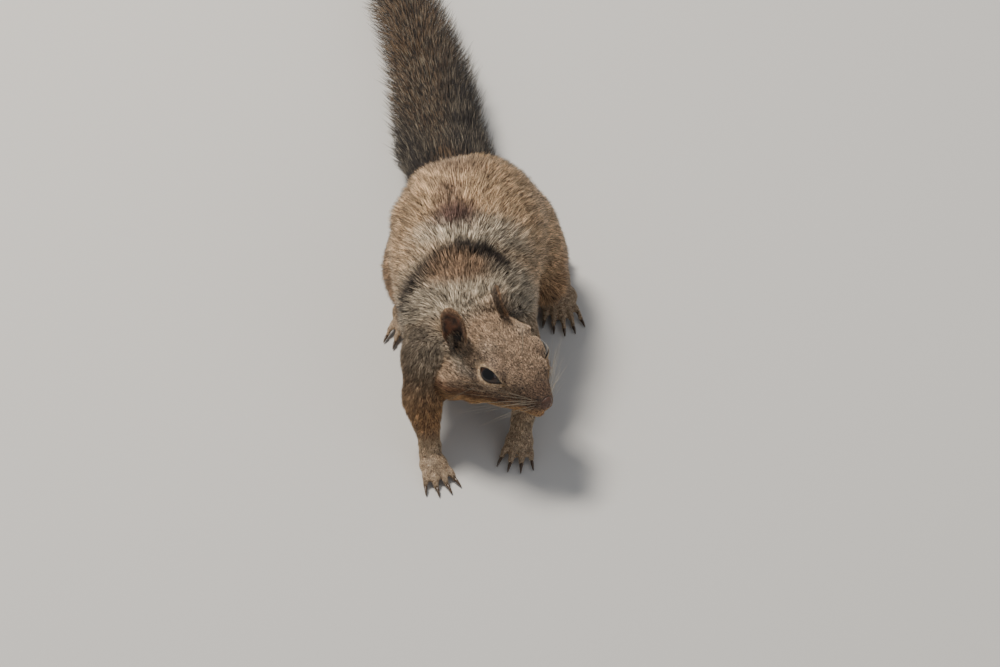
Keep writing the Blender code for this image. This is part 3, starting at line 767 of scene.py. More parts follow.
def coat_colours(points, share):
    """The pale and the deep colour at each point; share gives each zone's part in it, by name."""
    body = blurred(points / MM, 7, (3, 4, 5), 1.6)
    head = blurred(in_head(points), 4, (6, 7, 8), 0.6)
    side = np.abs(body[:, 0] - SPINE_X)
    height, back, rise_in_head = body[:, 2], head[:, 1], head[:, 2]
    ring = np.full(len(points), 99.0)
    for name in SIDES:
        distance, outside, out, rise, length = around_eye(in_head(points), name)
        lid_width = np.where(rise < 0, 1.25, 0.65) + 1.1 * ease(-length, 0.35, 0.8) * (rise > -0.2)
        near = (distance < EYE_RADIUS + 2.6) & (out > -0.3)
        ring = np.where(near, np.minimum(ring, np.maximum(outside, 0) / lid_width), ring)
    away = np.abs(head[:, 0])
    is_head = share["head"]
    is_body = np.clip(share["neck"] + share["trunk"] + share["hindleg"] + 0.5 * share["foreleg"], 0, 1)

    pale = np.tile(TAN[0], (len(points), 1))
    deep = np.tile(TAN[1], (len(points), 1))

    def paint(colours, amount):
        amount = np.clip(amount, 0, 1)[:, None]
        pale[:] += amount * (colours[0] - pale)
        deep[:] += amount * (colours[1] - deep)

    paint(OCHRE, 0.7 * ease(body[:, 1], -60, -34) * is_body)
    paint(FLANK_DARK, 0.75 * ease(46 - height, 0, 16) * ease(side, 16, 30) * is_body)
    paint(BELLY, ease(26 - height, 0, 10) * (1 - ease(side, 18, 30)) * is_body)
    paint(CREAM_ROWS, 0.85 * patch(body, (2, -105, 76), (26, 9, 30)) * is_body)
    paint(SILVER, 0.95 * patch(body, (2, -132, 62), (40, 19, 34), 0.3) * is_body)
    paint(SADDLE, 0.9 * patch(body, (-4, -124.5, 72), (15, 9, 14), 0.35))
    paint(PURPLE_PATCH, patch(body, (-3.5, -96, 80), (10.5, 7.5, 12)))
    paint(PURPLE_PATCH, 0.55 * patch(body, (-6, -83, 80), (6, 6, 12)))
    paint(PURPLE_PATCH, 0.45 * patch(body, (-3, -64, 80), (12, 7, 12)))
    paint(BLACK_BAND, band(body, BACK_ARCH, BAND_WIDTH) * ease(height, 40, 52) * (1 - is_head))
    foreleg, hindleg = share["foreleg"], share["hindleg"]
    paint(SHOULDER, foreleg)
    paint(SILVER, 0.6 * foreleg * ease(height, 36, 54))
    paint(FORELEG, foreleg * (1 - ease(height, 24, 44)) * (0.6 + 0.4 * ease(28 - side, 0, 12)))
    paint(FOOT, np.clip(share["foot"] * 1.3 + foreleg * ease(22 - height, 0, 10), 0, 1))
    paint(BELLY, 0.8 * hindleg * ease(24 - height, 0, 12) * (1 - ease(side, 26, 36)))

    paint(SILVER, is_head)
    paint(CROWN, is_head * (1 - ease(back, 46, 60)))
    paint(SILVER, is_head * ease(away, 14, 19) * ease(back, 34, 42) * ease(rise_in_head, 1, 6))
    paint(NECK_OCHRE, is_head * ease(back, 42, 56) * ease(away, 8, 18) * (1 - ease(rise_in_head, 0, 7)))
    below_cheek = np.interp(back, CHEEK_BACK, CHEEK_RISE) - rise_in_head
    cheek_ends = ease(back, 6, 14) * (1 - 0.7 * ease(back, 38, 56))
    paint(CHEEK, is_head * ease(below_cheek, -7, -1) * cheek_ends)
    paint(CHEEK_GREY, 0.6 * patch(head, (0, 36, 3), (60, 5, 2.6)) * ease(away, 12, 16) * is_head)
    paint(MUZZLE, is_head * (1 - ease(back, 6, 17)) * ease(rise_in_head, -3.4, -1.6))
    paint(JAW, is_head * ease(below_cheek, -1, 2.5) * (1 - 0.75 * ease(back, 30, 48)))
    paint(CHEEK_GREY, 0.25 * is_head * patch(np.abs(head), (9, 33, 12), (4.5, 4, 4)))
    paint(TEAR_SPOT, 0.8 * is_head * patch(np.abs(head), (12.5, 18.2, 3.4), (3, 2.4, 2.2)))
    paint(EYE_RING, (1 - ease(ring, 0.8, 1.4)) * is_head)
    paint(EAR_BACK, share["ear"])
    paint(EAR_RIM, share["ear"] * share["rim"])
    paint(TAIL_BUFF, share["tail"])
    tail_middle = np.interp(points[:, 1], TAIL_STATIONS, tail_middles[:, 0]) / MM
    paint(TAIL_EDGE, share["tail"] * ease(np.abs(points[:, 0] / MM - tail_middle + 1.5), 2.0, 6.0))
    return pale, deep


def cross_rows(tips):
    """How much lighter or darker the wavy rows across the back make a hair, by where its tip lies."""
    body = tips / MM
    side = np.abs(body[:, 0] - SPINE_X)
    row = np.sin((body[:, 1] + 0.35 * side) * 2 * math.pi / ROW_SPACING + 1.7 * waver(body, 6, 11))
    strength = ROW_STRENGTH + (CREAM_STRENGTH - ROW_STRENGTH) * patch(body, CREAM_SPOT, CREAM_REACH)
    return 1 + row * strength


def zone_shares(mesh):
    shares = {name: point_values(mesh, "zone_" + name) for name in ZONES}
    shares["rim"] = point_values(mesh, "ear_rim")
    return shares


print("a pale row every", ROW_SPACING, "mm along the back")

# %% [markdown]
# The rule is now read at every point of the skin and kept there as two colour attributes, from which the
# tufts take their own by their roots. The rim of each ear is marked first, since its fur is paler.

# %% Paint the skin
points = mesh_points(skin.data)
normals = mesh_normals(skin.data)
rim = np.zeros(len(points))
for side, (centre, axes) in ears.items():
    local = (points - centre) @ axes.T / MM
    edge = np.sqrt((local[:, 0] / 5.6) ** 2 + ((local[:, 2] - 0.5) / 15.5) ** 2)
    on_ear = (length_of(local) < EAR_REACH) * (normals @ axes[1] > -0.35)
    rim = np.maximum(rim, ease(edge, 0.78, 0.95) * on_ear)
set_point_values(skin.data, "ear_rim", rim)
set_point_values(skin.data, "ear_inner", inner * (1 - 0.8 * rim))


def set_point_colours(mesh, name, colours):
    layer = mesh.attributes.get(name) or mesh.attributes.new(name, "FLOAT_COLOR", "POINT")
    full = np.ones((len(colours), 4), dtype=np.float32)
    full[:, :3] = colours
    layer.data.foreach_set("color", full.ravel())


skin_pale, skin_deep = coat_colours(points, zone_shares(skin.data))
set_point_colours(skin.data, "pale", skin_pale)
set_point_colours(skin.data, "deep", skin_deep)
print("coat tones: palest", skin_pale.max(0).round(2), "deepest", skin_deep.min(0).round(2))

# %% [markdown]
# Fur has a lie: it runs back from the nose, over the crown and along the back to the tail, down the legs
# to the toes, and out from the tail's rod on all sides. That field is worked out at every point of the
# skin, zone by zone, and relaxed over the surface, so it turns smoothly from one zone to the next.

# %% The lie of the coat
def unit(vectors):
    return vectors / np.maximum(length_of(vectors)[:, None], 1e-9)


def side_of(points):
    """+1 on the left side of the body and -1 on its right, softly."""
    return np.clip((points[:, 0] / MM - SPINE_X) / 14, -1, 1)


TAIL_COAT_STARTS = TAIL_FROM - 16 * MM, TAIL_FROM - 4 * MM
STRAIGHT_LIE = {"foot": (0.05, -1.0, -0.25), "ear": (0.0, 0.15, 1.0), "tail": (-0.18, 1.0, -0.02)}


def coat_lie(points, share):
    left = side_of(points)
    head = in_head(points)
    from_nose = (head - (0, -9, -1)) * (0.75, 1, 0.45)
    lie = share["head"][:, None] * (unit(from_nose) @ HEAD_AXES)
    level = np.ones(len(points))
    over_back = np.stack([0.5 * left, level, -0.55 * np.abs(left)], axis=1)
    lie += (share["trunk"] + share["neck"])[:, None] * unit(over_back)
    down_front = np.stack([0.15 * left, -0.15 * level, -level], axis=1)
    lie += share["foreleg"][:, None] * unit(down_front)
    down_back = np.stack([0.3 * left, 0.55 * level, -0.75 * level], axis=1)
    lie += share["hindleg"][:, None] * unit(down_back)
    for zone, way in STRAIGHT_LIE.items():
        lie += share[zone][:, None] * np.array(way)
    return unit(lie)


shares = zone_shares(skin.data)
before_tail = shares["tail"] * (1 - ease(points[:, 1], *TAIL_COAT_STARTS))
shares["tail"] = shares["tail"] - before_tail
shares["hindleg"] = shares["hindleg"] + before_tail
lie = coat_lie(points, shares)
lie = unit(relax(lie, mesh_edges(skin.data), 25, 0.6))
lie -= normals * (lie * normals).sum(1, keepdims=True)
lie = unit(lie)
print("mean lie of the coat:", lie.mean(0).round(2))

# %% [markdown]
# For baking, every tuft keeps a small patch at its root's place on an unwrap of the skin itself. The skin
# gets one such unwrap as a whole, and a second one in which each zone fills the sheet on its own, so that
# the patches of a crowded zone lie side by side. Smart UV Project makes both from the skin's own shape.

# %% Unwrap the skin
BAKE_MAP = "OFBake"
ZONE_MAP = "zone_sheet"


def unwrap(piece, map_name, chosen):
    """Unwraps the chosen faces on their own, over the whole of a UV map."""
    mesh = piece.data
    mesh.uv_layers.active = mesh.uv_layers.get(map_name) or mesh.uv_layers.new(name=map_name)
    deselect_all()
    mesh.polygons.foreach_set("select", chosen)
    bpy.context.view_layer.objects.active = piece
    bpy.ops.object.mode_set(mode="EDIT")
    bpy.context.tool_settings.mesh_select_mode = (False, False, True)
    bpy.ops.uv.smart_project(angle_limit=math.radians(66), island_margin=0.002)
    bpy.ops.object.mode_set(mode="OBJECT")


for old in [layer.name for layer in skin.data.uv_layers]:
    skin.data.uv_layers.remove(skin.data.uv_layers[old])
corners = read(skin.data.loops, "vertex_index", 1, int).reshape(-1, 3)
zone_values = np.stack([shares[name] for name in ZONES], axis=1)
face_zone = zone_values[corners].mean(1).argmax(1)
unwrap(skin, BAKE_MAP, np.ones(len(face_zone), dtype=bool))
skin.data.uv_layers.new(name=ZONE_MAP)
for number, name in enumerate(ZONES):
    unwrap(skin, ZONE_MAP, face_zone == number)
sheet = read(skin.data.uv_layers[ZONE_MAP].data, "uv", 2).reshape(-1, 3, 2)
skin.data.uv_layers.remove(skin.data.uv_layers[ZONE_MAP])
print("faces in each zone:", dict(zip(ZONES, np.bincount(face_zone, minlength=len(ZONES)).tolist())))

# %% [markdown]
# The coat is thick and long on the back, short on face and feet, and missing on the eyes, nose, lips,
# soles and the open side of the ears. Each zone has its own measures, which are blended over the zones'
# borders like the tones, and on the head the hairs get longer from the nose back to the nape.

# %% Where hair grows, and how long it is
COAT = {  # tufts per square millimetre, length and width in millimetres, lift in degrees, rings
    "head": (11.0, 2.5, 0.125, 12, 1),
    "neck": (6.4, 6.4, 0.20, 21, 1),
    "trunk": (4.7, 8.4, 0.235, 22, 1),
    "ear": (8.0, 1.6, 0.11, 9, 1),
    "foreleg": (6.0, 4.6, 0.19, 16, 1),
    "hindleg": (4.7, 7.4, 0.23, 20, 1),
    "foot": (6.0, 1.4, 0.13, 7, 1),
    "tail": (3.4, 29.0, 0.32, 30, 2),
}
EAR_MOUTH = np.array([0.0, 2.0, -5.0])
HEAD_SCALE_AT = (0, 4, 12, 24, 38, 48, 60)
HEAD_SCALE = (0.34, 0.42, 0.6, 0.8, 1.15, 2.2, 2.6)
SHORTER_LOW_DOWN = {"foot": (0.35, 2, 7), "foreleg": (0.45, 12, 34), "hindleg": (0.4, 12, 28)}


def lid_edge(head, side, width, reach):
    """1 inside the almond of an eye and on the edge of its lids."""
    distance, outside, out = around_eye(head, side)[:3]
    return (1 - ease(outside, *width)) * (distance < EYE_RADIUS + reach) * (out > EYE_FRONT)


def bare_places(points, normals):
    """1 where no hair grows: eyes, lid edges, nose, mouth, the ears' open side and the soles."""
    head = in_head(points)
    bare = np.maximum(inner * (0.86 - 0.45 * rim), ear_canal)
    for side in SIDES:
        bare = np.maximum(bare, lid_edge(head, side, (0.25, 0.5), 3))
    bare = np.maximum(bare, 1 - ease(ellipsoid_gap(head, *NOSE_PAD), 1.0, 1.12))
    at_mouth = (head[:, 1] < 15) * (head[:, 1] > -1) * shares["head"]
    bare = np.maximum(bare, (1 - ease(np.abs(above_mouth(head)), 0.25, 0.45)) * at_mouth)
    sole = ease(-normals[:, 2], 0.75, 0.9) * (points[:, 2] < 2.0 * MM)
    return np.maximum(bare, sole)


def coat_scale(points, shares_at):
    """How much shorter or longer than its zone's tufts the coat is at each point."""
    head = in_head(points)
    along = np.interp(head[:, 1], HEAD_SCALE_AT, HEAD_SCALE)
    along *= 1 + 0.5 * ease(-head[:, 2], -4, 8) * ease(head[:, 1], 14, 34)
    for spot in eye_spots.values():
        along *= 0.5 + 0.5 * ease(length_of(head - spot), EYE_RADIUS, EYE_RADIUS + 4)
    scale = 1 + shares_at["head"] * (along - 1)
    for centre, axes in ears.values():
        mouth_of_ear = centre + EAR_MOUTH @ axes * MM
        scale *= 0.5 + 0.5 * ease(length_of(points - mouth_of_ear) / MM, 3, 5.5)
    for zone, (shorter, low, high) in SHORTER_LOW_DOWN.items():
        scale *= 1 - shorter * shares_at[zone] * (1 - ease(points[:, 2] / MM, low, high))
    return scale


triangle = points[corners]
sides_of_face = triangle[:, 1:] - triangle[:, :1]
face_area = length_of(np.cross(sides_of_face[:, 0], sides_of_face[:, 1])) / 2
normals = mesh_normals(skin.data)
hair_grows = 1 - bare_places(points, normals)
scale_at = coat_scale(points, shares)
sizes = {name: zone_values @ [COAT[zone][column] for zone in ZONES]
         for column, name in enumerate(("density", "length", "width", "lift"))}
print("coat length, mm:", rounded(np.percentile(sizes["length"] * scale_at, (1, 50, 99))))

# %% [markdown]
# Thousands of tufts are worked out at once as arrays, which gives each a closed shape that can be baked
# and exported, where Blender's own hair is curves. Roots fall at random by each zone's density, directions
# follow the lie with a little disorder, and a tuft rises from the skin and curves over to lie down. The
# tips of neighbours are drawn together, as real fur parts into locks. On the tail a hair reaches out to
# the outline that the solid gives.

# %% The line of each tuft
RINGS = {1: (0.0, 0.42, 1.0), 2: (0.0, 0.30, 0.68, 1.0)}  # how far along a tuft its rings lie
UNDERSIDE_THINNER = 0.35


def scatter_roots(zone, dice):
    """Faces and weights for the roots of one zone's tufts."""
    underside = 1 - UNDERSIDE_THINNER * ease(-normals[:, 2], 0.2, 0.8)
    share = zone_values[:, ZONES.index(zone)]
    share = ease(share, 0.4, 0.75) if zone == "tail" else share
    density = share * hair_grows * underside * COAT[zone][0]
    hairs = face_area / MM**2 * density[corners].mean(1)
    count = int(hairs.sum())
    face = np.searchsorted(np.cumsum(hairs) / hairs.sum(), dice.random(count))
    first, second = np.sqrt(dice.random(count)), dice.random(count)
    weights = np.stack([1 - first, first * (1 - second), first * second], axis=1)
    return np.minimum(face, len(corners) - 1), weights


def gather(values, face, weights):
    picked = values[corners[face]]
    return (picked * weights.reshape(weights.shape + (1,) * (picked.ndim - 2))).sum(1)


ROD_HIDDEN = 3.0  # a rod no thicker than this is lost in the hair
TAIL_HAIR_SLOPES = 0.06, 0.75


def tail_reach(roots, outward, length):
    """Lift, in radians, that brings a tail hair's tip out to the tail's outline."""
    tip_place = roots[:, 1] + 0.75 * length
    wide = np.interp(tip_place, TAIL_STATIONS, tail_halves[:, 0])
    high = np.interp(tip_place, TAIL_STATIONS, tail_halves[:, 2])
    narrow = 1 - ease(tip_place, TAIL_TO - 25 * MM, TAIL_TO + 8 * MM)
    reach = 1 / np.sqrt((outward[:, 0] / wide) ** 2 + (outward[:, 2] / high) ** 2 + 1e-6)
    share = np.clip((roots[:, 1] - TAIL_STATIONS[0]) / (TAIL_STATIONS[-1] - TAIL_STATIONS[0]), 0, 1)
    reach = 0.94 * reach * narrow - np.maximum(rod_radius(share) - ROD_HIDDEN, 0) * MM
    return np.arcsin(np.clip(reach / length, *TAIL_HAIR_SLOPES))


LOCKS = {"head": (5, 0.2), "ear": (4, 0.1), "foot": (5, 0.2)}  # tufts to a lock, and how far they close up
PLAIN_LOCK = (10, 0.36)
LONGEST_BODY_HAIR = 14 * MM
ROOT_UNDER = 0.25 * MM
LOWEST_HAIR = 0.35 * MM
BEND = 0.55
ROWED = ("neck", "trunk", "hindleg")


def draw_together(roots, tips, dice, per_lock, pull):
    """Each tip's way towards the tip of the nearest of a few leading tufts, and its lock's own number."""
    leaders = dice.choice(len(roots), max(1, len(roots) // per_lock), replace=False)
    tree = KDTree(len(leaders))
    for number, leader in enumerate(leaders):
        tree.insert(roots[leader], number)
    tree.balance()
    nearest = leaders[[tree.find(root)[1] for root in roots]]
    return (tips[nearest] - tips) * pull, dice.random(len(roots))[nearest]


def turned(way, up, angle):
    """The way of each tuft along the skin, turned about the skin's normal."""
    flat = unit(way - up * (way * up).sum(1, keepdims=True))
    return flat * np.cos(angle)[:, None] + np.cross(up, flat) * np.sin(angle)[:, None]


def tuft_centrelines(zone, dice):
    """Points along each tuft's middle, with what each tuft carries."""
    face, weights = scatter_roots(zone, dice)
    count = len(face)
    roots = gather(points, face, weights)
    up = unit(gather(normals, face, weights))
    length = gather(sizes["length"] * scale_at, face, weights) * dice.uniform(0.72, 1.18, count) * MM
    if zone != "tail":
        length = np.minimum(length, LONGEST_BODY_HAIR)
    width = gather(sizes["width"] * (0.45 + 0.55 * scale_at), face, weights)
    width *= dice.uniform(0.75, 1.2, count) * MM
    lift = np.radians(gather(sizes["lift"], face, weights)) * dice.uniform(0.5, 1.5, count)
    lift *= 1 + 0.35 * waver(roots / MM, 5, 21)
    turn = math.radians(13) * waver(roots / MM, 6, 22) + dice.normal(0, math.radians(9), count)
    if zone == "tail":
        lift = tail_reach(roots, up, length) * dice.uniform(0.7, 1.06, count)
        lift *= 0.5 + 0.5 * ease(roots[:, 1], TAIL_FROM - 6 * MM, TAIL_FROM + 10 * MM)
    way = turned(gather(lie, face, weights), up, turn)
    forward, rise = (length * np.cos(lift))[:, None], (length * np.sin(lift))[:, None]
    rings = RINGS[COAT[zone][4]]
    spine = np.stack([roots + way * forward * step + up * rise * (step * (1 + BEND) - BEND * step**2)
                      for step in rings], axis=1)
    spine[:, 0] -= up * ROOT_UNDER
    pull, lock = draw_together(roots, spine[:, -1], dice, *LOCKS.get(zone, PLAIN_LOCK))
    pull *= np.minimum(1, 0.3 * length / np.maximum(length_of(pull), 1e-9))[:, None]
    for number, step in enumerate(rings):
        spine[:, number] += pull * step**2
    spine[:, 1:, 2] = np.maximum(spine[:, 1:, 2], LOWEST_HAIR)
    rows = cross_rows(spine[:, -1])[:, None] if zone in ROWED else 1
    carried = {
        "pale": gather(skin_pale, face, weights) * rows,
        "deep": gather(skin_deep, face, weights) * rows,
        "chance": dice.random(count),
        "lock": lock,
    }
    place_on_sheet = (sheet[face] * weights[:, :, None]).sum(1)
    return spine, up, width, carried, place_on_sheet


print("locks of", PLAIN_LOCK[0], "tufts on the body, and of", LOCKS["head"][0], "on the face")

# %% [markdown]
# A tuft is a closed spindle of a few faces, rooted a little under the skin: three sides, pointed at both
# ends, with one ring on short fur and two on long fur, so that it can bend. Fewer faces would show as
# flat blades, and more would not fit in the model. Each tuft keeps a small patch of its own on the bake
# map, at its root's place.

# %% The shape of each tuft
GIRTH = {1: (0.0, 1.0, 0.0), 2: (0.0, 1.0, 0.72, 0.0)}
SIDES_OF_TUFT = 3
FLATTER = 0.6
PATCH = 0.003


def spindle_faces(ring_count):
    """Vertex numbers of one tuft's faces: root, rings of three, tip."""
    faces = []
    tip = 1 + SIDES_OF_TUFT * ring_count
    for corner in range(SIDES_OF_TUFT):
        after = (corner + 1) % SIDES_OF_TUFT
        faces.append((0, 1 + after, 1 + corner))
        for low in range(1, tip - SIDES_OF_TUFT, SIDES_OF_TUFT):
            high = low + SIDES_OF_TUFT
            faces.append((low + corner, low + after, high + after, high + corner))
        faces.append((tip - SIDES_OF_TUFT + corner, tip - SIDES_OF_TUFT + after, tip))
    return faces


def mesh_of_like_shapes(name, points, faces):
    """A mesh of many like shapes: points for each shape, and the faces of the first one."""
    shapes, each = points.shape[:2]
    mesh = bpy.data.meshes.new(name)
    pattern = np.concatenate([np.array(face) for face in faces])
    corners = (pattern[None, :] + each * np.arange(shapes)[:, None]).ravel()
    lengths = np.tile([len(face) for face in faces], shapes)
    mesh.vertices.add(shapes * each)
    mesh.vertices.foreach_set("co", points.reshape(-1))
    mesh.loops.add(len(corners))
    mesh.loops.foreach_set("vertex_index", corners.astype(np.int32))
    mesh.polygons.add(len(lengths))
    starts = np.cumsum(lengths) - lengths
    mesh.polygons.foreach_set("loop_start", starts.astype(np.int32))
    mesh.update(calc_edges=True)
    mesh.shade_smooth()
    return mesh, corners


def tuft_piece(name, spine, up, width, carried, place_on_sheet, material):
    """One joined mesh of tufts, with their colours, their length as an attribute and their bake patches."""
    ring_count = spine.shape[1] - 2
    tangent = unit(spine[:, -1] - spine[:, 0])
    side = unit(np.cross(tangent, up))
    rise = np.cross(tangent, side)
    shape, sheet_at = [spine[:, 0]], [(0.0, 0.0)]
    for ring in range(1, ring_count + 1):
        half = (width * GIRTH[ring_count][ring] / 2)[:, None]
        for corner in range(SIDES_OF_TUFT):
            angle = 2 * math.pi * corner / SIDES_OF_TUFT + math.pi / 6
            out = side * math.cos(angle) + FLATTER * rise * math.sin(angle)
            shape.append(spine[:, ring] + out * half)
            sheet_at.append((RINGS[ring_count][ring], corner / SIDES_OF_TUFT))
    shape.append(spine[:, -1])
    sheet_at.append((1.0, 0.0))
    shape = np.stack(shape, axis=1)
    mesh, corners = mesh_of_like_shapes(name, shape, spindle_faces(ring_count))
    count, each = shape.shape[:2]
    set_point_values(mesh, "along", np.tile([spot[0] for spot in sheet_at], count))
    for key in ("chance", "lock"):
        set_point_values(mesh, key, np.repeat(carried[key], each))
    for key in ("pale", "deep"):
        set_point_colours(mesh, key, np.repeat(carried[key], each, axis=0))
    spots = place_on_sheet[:, None, :] + (np.array(sheet_at)[None] - 0.5) * PATCH
    layer = mesh.uv_layers.new(name=BAKE_MAP)
    layer.data.foreach_set("uv", np.clip(spots.reshape(-1, 2), 0, 1)[corners].ravel())
    mesh.materials.append(material)
    return add_object(name, mesh)


print("faces of a tuft, by its rings:", {rings: len(spindle_faces(rings)) for rings in GIRTH})

# %% [markdown]
# A shader is a tree of small nodes, and adding them one by one takes the same few lines each time. So each
# kind of node has a helper that adds it, feeds its sockets from other nodes or numbers, and returns its
# output.

# %% Helpers for shader nodes
def new_group(name, inputs, outputs):
    group = bpy.data.node_groups.new(name, "ShaderNodeTree")
    for label, kind in inputs:
        group.interface.new_socket(label, in_out="INPUT", socket_type=kind)
    for label, kind in outputs:
        group.interface.new_socket(label, in_out="OUTPUT", socket_type=kind)
    return group, group.nodes.new("NodeGroupInput"), group.nodes.new("NodeGroupOutput")


def socket(value, tree, target):
    """Feeds a socket from another one, or sets it to a constant."""
    if isinstance(value, bpy.types.NodeSocket):
        tree.links.new(value, target)
    elif target.type == "RGBA":
        target.default_value = (*value, 1)
    else:
        target.default_value = value


def math_node(tree, operation, *values):
    node = tree.nodes.new("ShaderNodeMath")
    node.operation = operation
    for value, target in zip(values, node.inputs):
        socket(value, tree, target)
    return node.outputs[0]


def another_chance(tree, chance, stretch):
    """A second number from 0 to 1 for each hair, made from its first."""
    return math_node(tree, "FRACT", math_node(tree, "MULTIPLY", chance, stretch))


def mix_colours(tree, share, first, second, blend="MIX"):
    node = tree.nodes.new("ShaderNodeMix")
    node.data_type = "RGBA"
    node.blend_type = blend
    socket(share, tree, node.inputs["Factor"])
    socket(first, tree, node.inputs[6])
    socket(second, tree, node.inputs[7])
    return node.outputs[2]


def smooth_step(tree, value, start, end, low=0.0, high=1.0):
    node = tree.nodes.new("ShaderNodeMapRange")
    node.interpolation_type = "SMOOTHSTEP"
    settings = {"Value": value, "From Min": start, "From Max": end, "To Min": low, "To Max": high}
    for label, setting in settings.items():
        socket(setting, tree, node.inputs[label])
    return node.outputs[0]


def noise(tree, vector, scale, detail=2.0):
    node = tree.nodes.new("ShaderNodeTexNoise")
    socket(vector, tree, node.inputs["Vector"])
    socket(scale, tree, node.inputs["Scale"])
    node.inputs["Detail"].default_value = detail
    return node.outputs["Fac"]


def attribute(tree, name, output="Fac"):
    node = tree.nodes.new("ShaderNodeAttribute")
    node.attribute_name = name
    return node.outputs[output]


def object_place(tree):
    return tree.nodes.new("ShaderNodeTexCoord").outputs["Object"]


def use_group(tree, group, **values):
    node = tree.nodes.new("ShaderNodeGroup")
    node.node_tree = group
    for label, value in values.items():
        socket(value, tree, node.inputs[label])
    return node.outputs[0]


def add_bump(tree, shader, height, strength, distance):
    bump = tree.nodes.new("ShaderNodeBump")
    bump.inputs["Strength"].default_value = strength
    bump.inputs["Distance"].default_value = distance
    tree.links.new(height, bump.inputs["Height"])
    tree.links.new(bump.outputs["Normal"], shader.inputs["Normal"])


print("materials so far:", [material.name for material in bpy.data.materials])

# %% [markdown]
# Two node groups are shared. The first turns the pale and deep tones into one banded hair: dark at the
# root, a pale band further out, and a tip that is dark on some hairs only, all shifted a little from hair
# to hair. The second is a fine grain for bare skin and horn. Both give colours and heights only, and the
# Principled shader stays in each material.

# %% Shader node groups
COLOUR, NUMBER, VECTOR = "NodeSocketColor", "NodeSocketFloat", "NodeSocketVector"
hair_inputs = [("Pale", COLOUR), ("Deep", COLOUR), ("Along", NUMBER), ("Chance", NUMBER), ("Lock", NUMBER)]
banded_hair, given, result = new_group("banded_hair", hair_inputs, [("Color", COLOUR)])
tree = banded_hair
pale, deep, along, chance, lock = (given.outputs[label] for label, kind in hair_inputs)
place = math_node(tree, "MULTIPLY_ADD", math_node(tree, "SUBTRACT", chance, 0.5), 0.26, along)
dark_lock = smooth_step(tree, lock, 0.56, 0.64)
second_chance = another_chance(tree, chance, 7.31)
band_start = smooth_step(tree, place, 0.22, 0.5)
tip_chance = math_node(tree, "MULTIPLY_ADD", dark_lock, 0.55, second_chance)
dark_tip = math_node(tree, "GREATER_THAN", tip_chance, 0.72)
band_stop = math_node(tree, "MULTIPLY_ADD", dark_lock, -0.22, place)
band_end = math_node(tree, "MULTIPLY", smooth_step(tree, band_stop, 0.46, 0.62), dark_tip)
pale_share = math_node(tree, "MULTIPLY", band_start, math_node(tree, "SUBTRACT", 1.0, band_end))
colour = mix_colours(tree, pale_share, deep, pale)
own_shade = smooth_step(tree, another_chance(tree, chance, 23.7), 0.0, 1.0, 0.6, 1.3)
lock_shade = smooth_step(tree, lock, 0.0, 0.75, 1.42, 0.6)
bright = math_node(tree, "MULTIPLY", own_shade, lock_shade)
shade = tree.nodes.new("ShaderNodeCombineColor")
for channel in shade.inputs[:3]:
    tree.links.new(bright, channel)
tree.links.new(mix_colours(tree, 1.0, colour, shade.outputs[0], "MULTIPLY"), result.inputs["Color"])

grain_inputs = [("Vector", VECTOR), ("Scale", NUMBER)]
skin_grain, given, result = new_group("skin_grain", grain_inputs, [("Height", NUMBER)])
tree = skin_grain
where, scale = (given.outputs[label] for label, kind in grain_inputs)
pores = tree.nodes.new("ShaderNodeTexVoronoi")
tree.links.new(where, pores.inputs["Vector"])
tree.links.new(scale, pores.inputs["Scale"])
fine = noise(tree, where, math_node(tree, "MULTIPLY", scale, 2.3))
height = math_node(tree, "MULTIPLY_ADD", fine, 0.5, pores.outputs["Distance"])
tree.links.new(height, result.inputs["Height"])
print("shader groups:", [group.name for group in bpy.data.node_groups])

# %% [markdown]
# Fur reads its tones from the attributes that each tuft carries, and its bands follow the tuft's length.
# The tail has a rule of its own, because each of its long hairs has several bands and a frosted tip, so
# that the whole tail shows dark borders and a pale fringe.

# %% Fur materials
fur, fur_shader = lit_material("banded_fur", (0.4, 0.3, 0.2))
tail_fur, tail_shader = lit_material("tail_fur", (0.2, 0.15, 0.1))
for shader in (fur_shader, tail_shader):
    shader.inputs["Specular IOR Level"].default_value = 0.35


def painted_tones(tree):
    return attribute(tree, "pale", "Color"), attribute(tree, "deep", "Color")


tree = fur.node_tree
pale, deep = painted_tones(tree)
along, chance, lock = (attribute(tree, name) for name in ("along", "chance", "lock"))
colour = use_group(tree, banded_hair, Pale=pale, Deep=deep, Along=along, Chance=chance, Lock=lock)
tree.links.new(colour, fur_shader.inputs["Base Color"])
tree.links.new(smooth_step(tree, along, 0, 1, 0.7, 0.45), fur_shader.inputs["Roughness"])

tree = tail_fur.node_tree
along, chance = attribute(tree, "along"), attribute(tree, "chance")
place = math_node(tree, "MULTIPLY_ADD", math_node(tree, "SUBTRACT", chance, 0.5), 0.34, along)
base, edge = painted_tones(tree)
colour = mix_colours(tree, smooth_step(tree, place, 0.24, 0.36), base, edge)
colour = mix_colours(tree, smooth_step(tree, place, 0.44, 0.52), colour, base)
colour = mix_colours(tree, smooth_step(tree, place, 0.60, 0.70), colour, tone(36, 31, 29))
frosted = math_node(tree, "GREATER_THAN", another_chance(tree, chance, 17.3), 0.5)
frost = math_node(tree, "MULTIPLY", smooth_step(tree, place, 0.82, 0.95), frosted)
colour = mix_colours(tree, frost, colour, tone(164, 150, 128))
tree.links.new(colour, tail_shader.inputs["Base Color"])

print("fur materials:", fur.name, tail_fur.name)
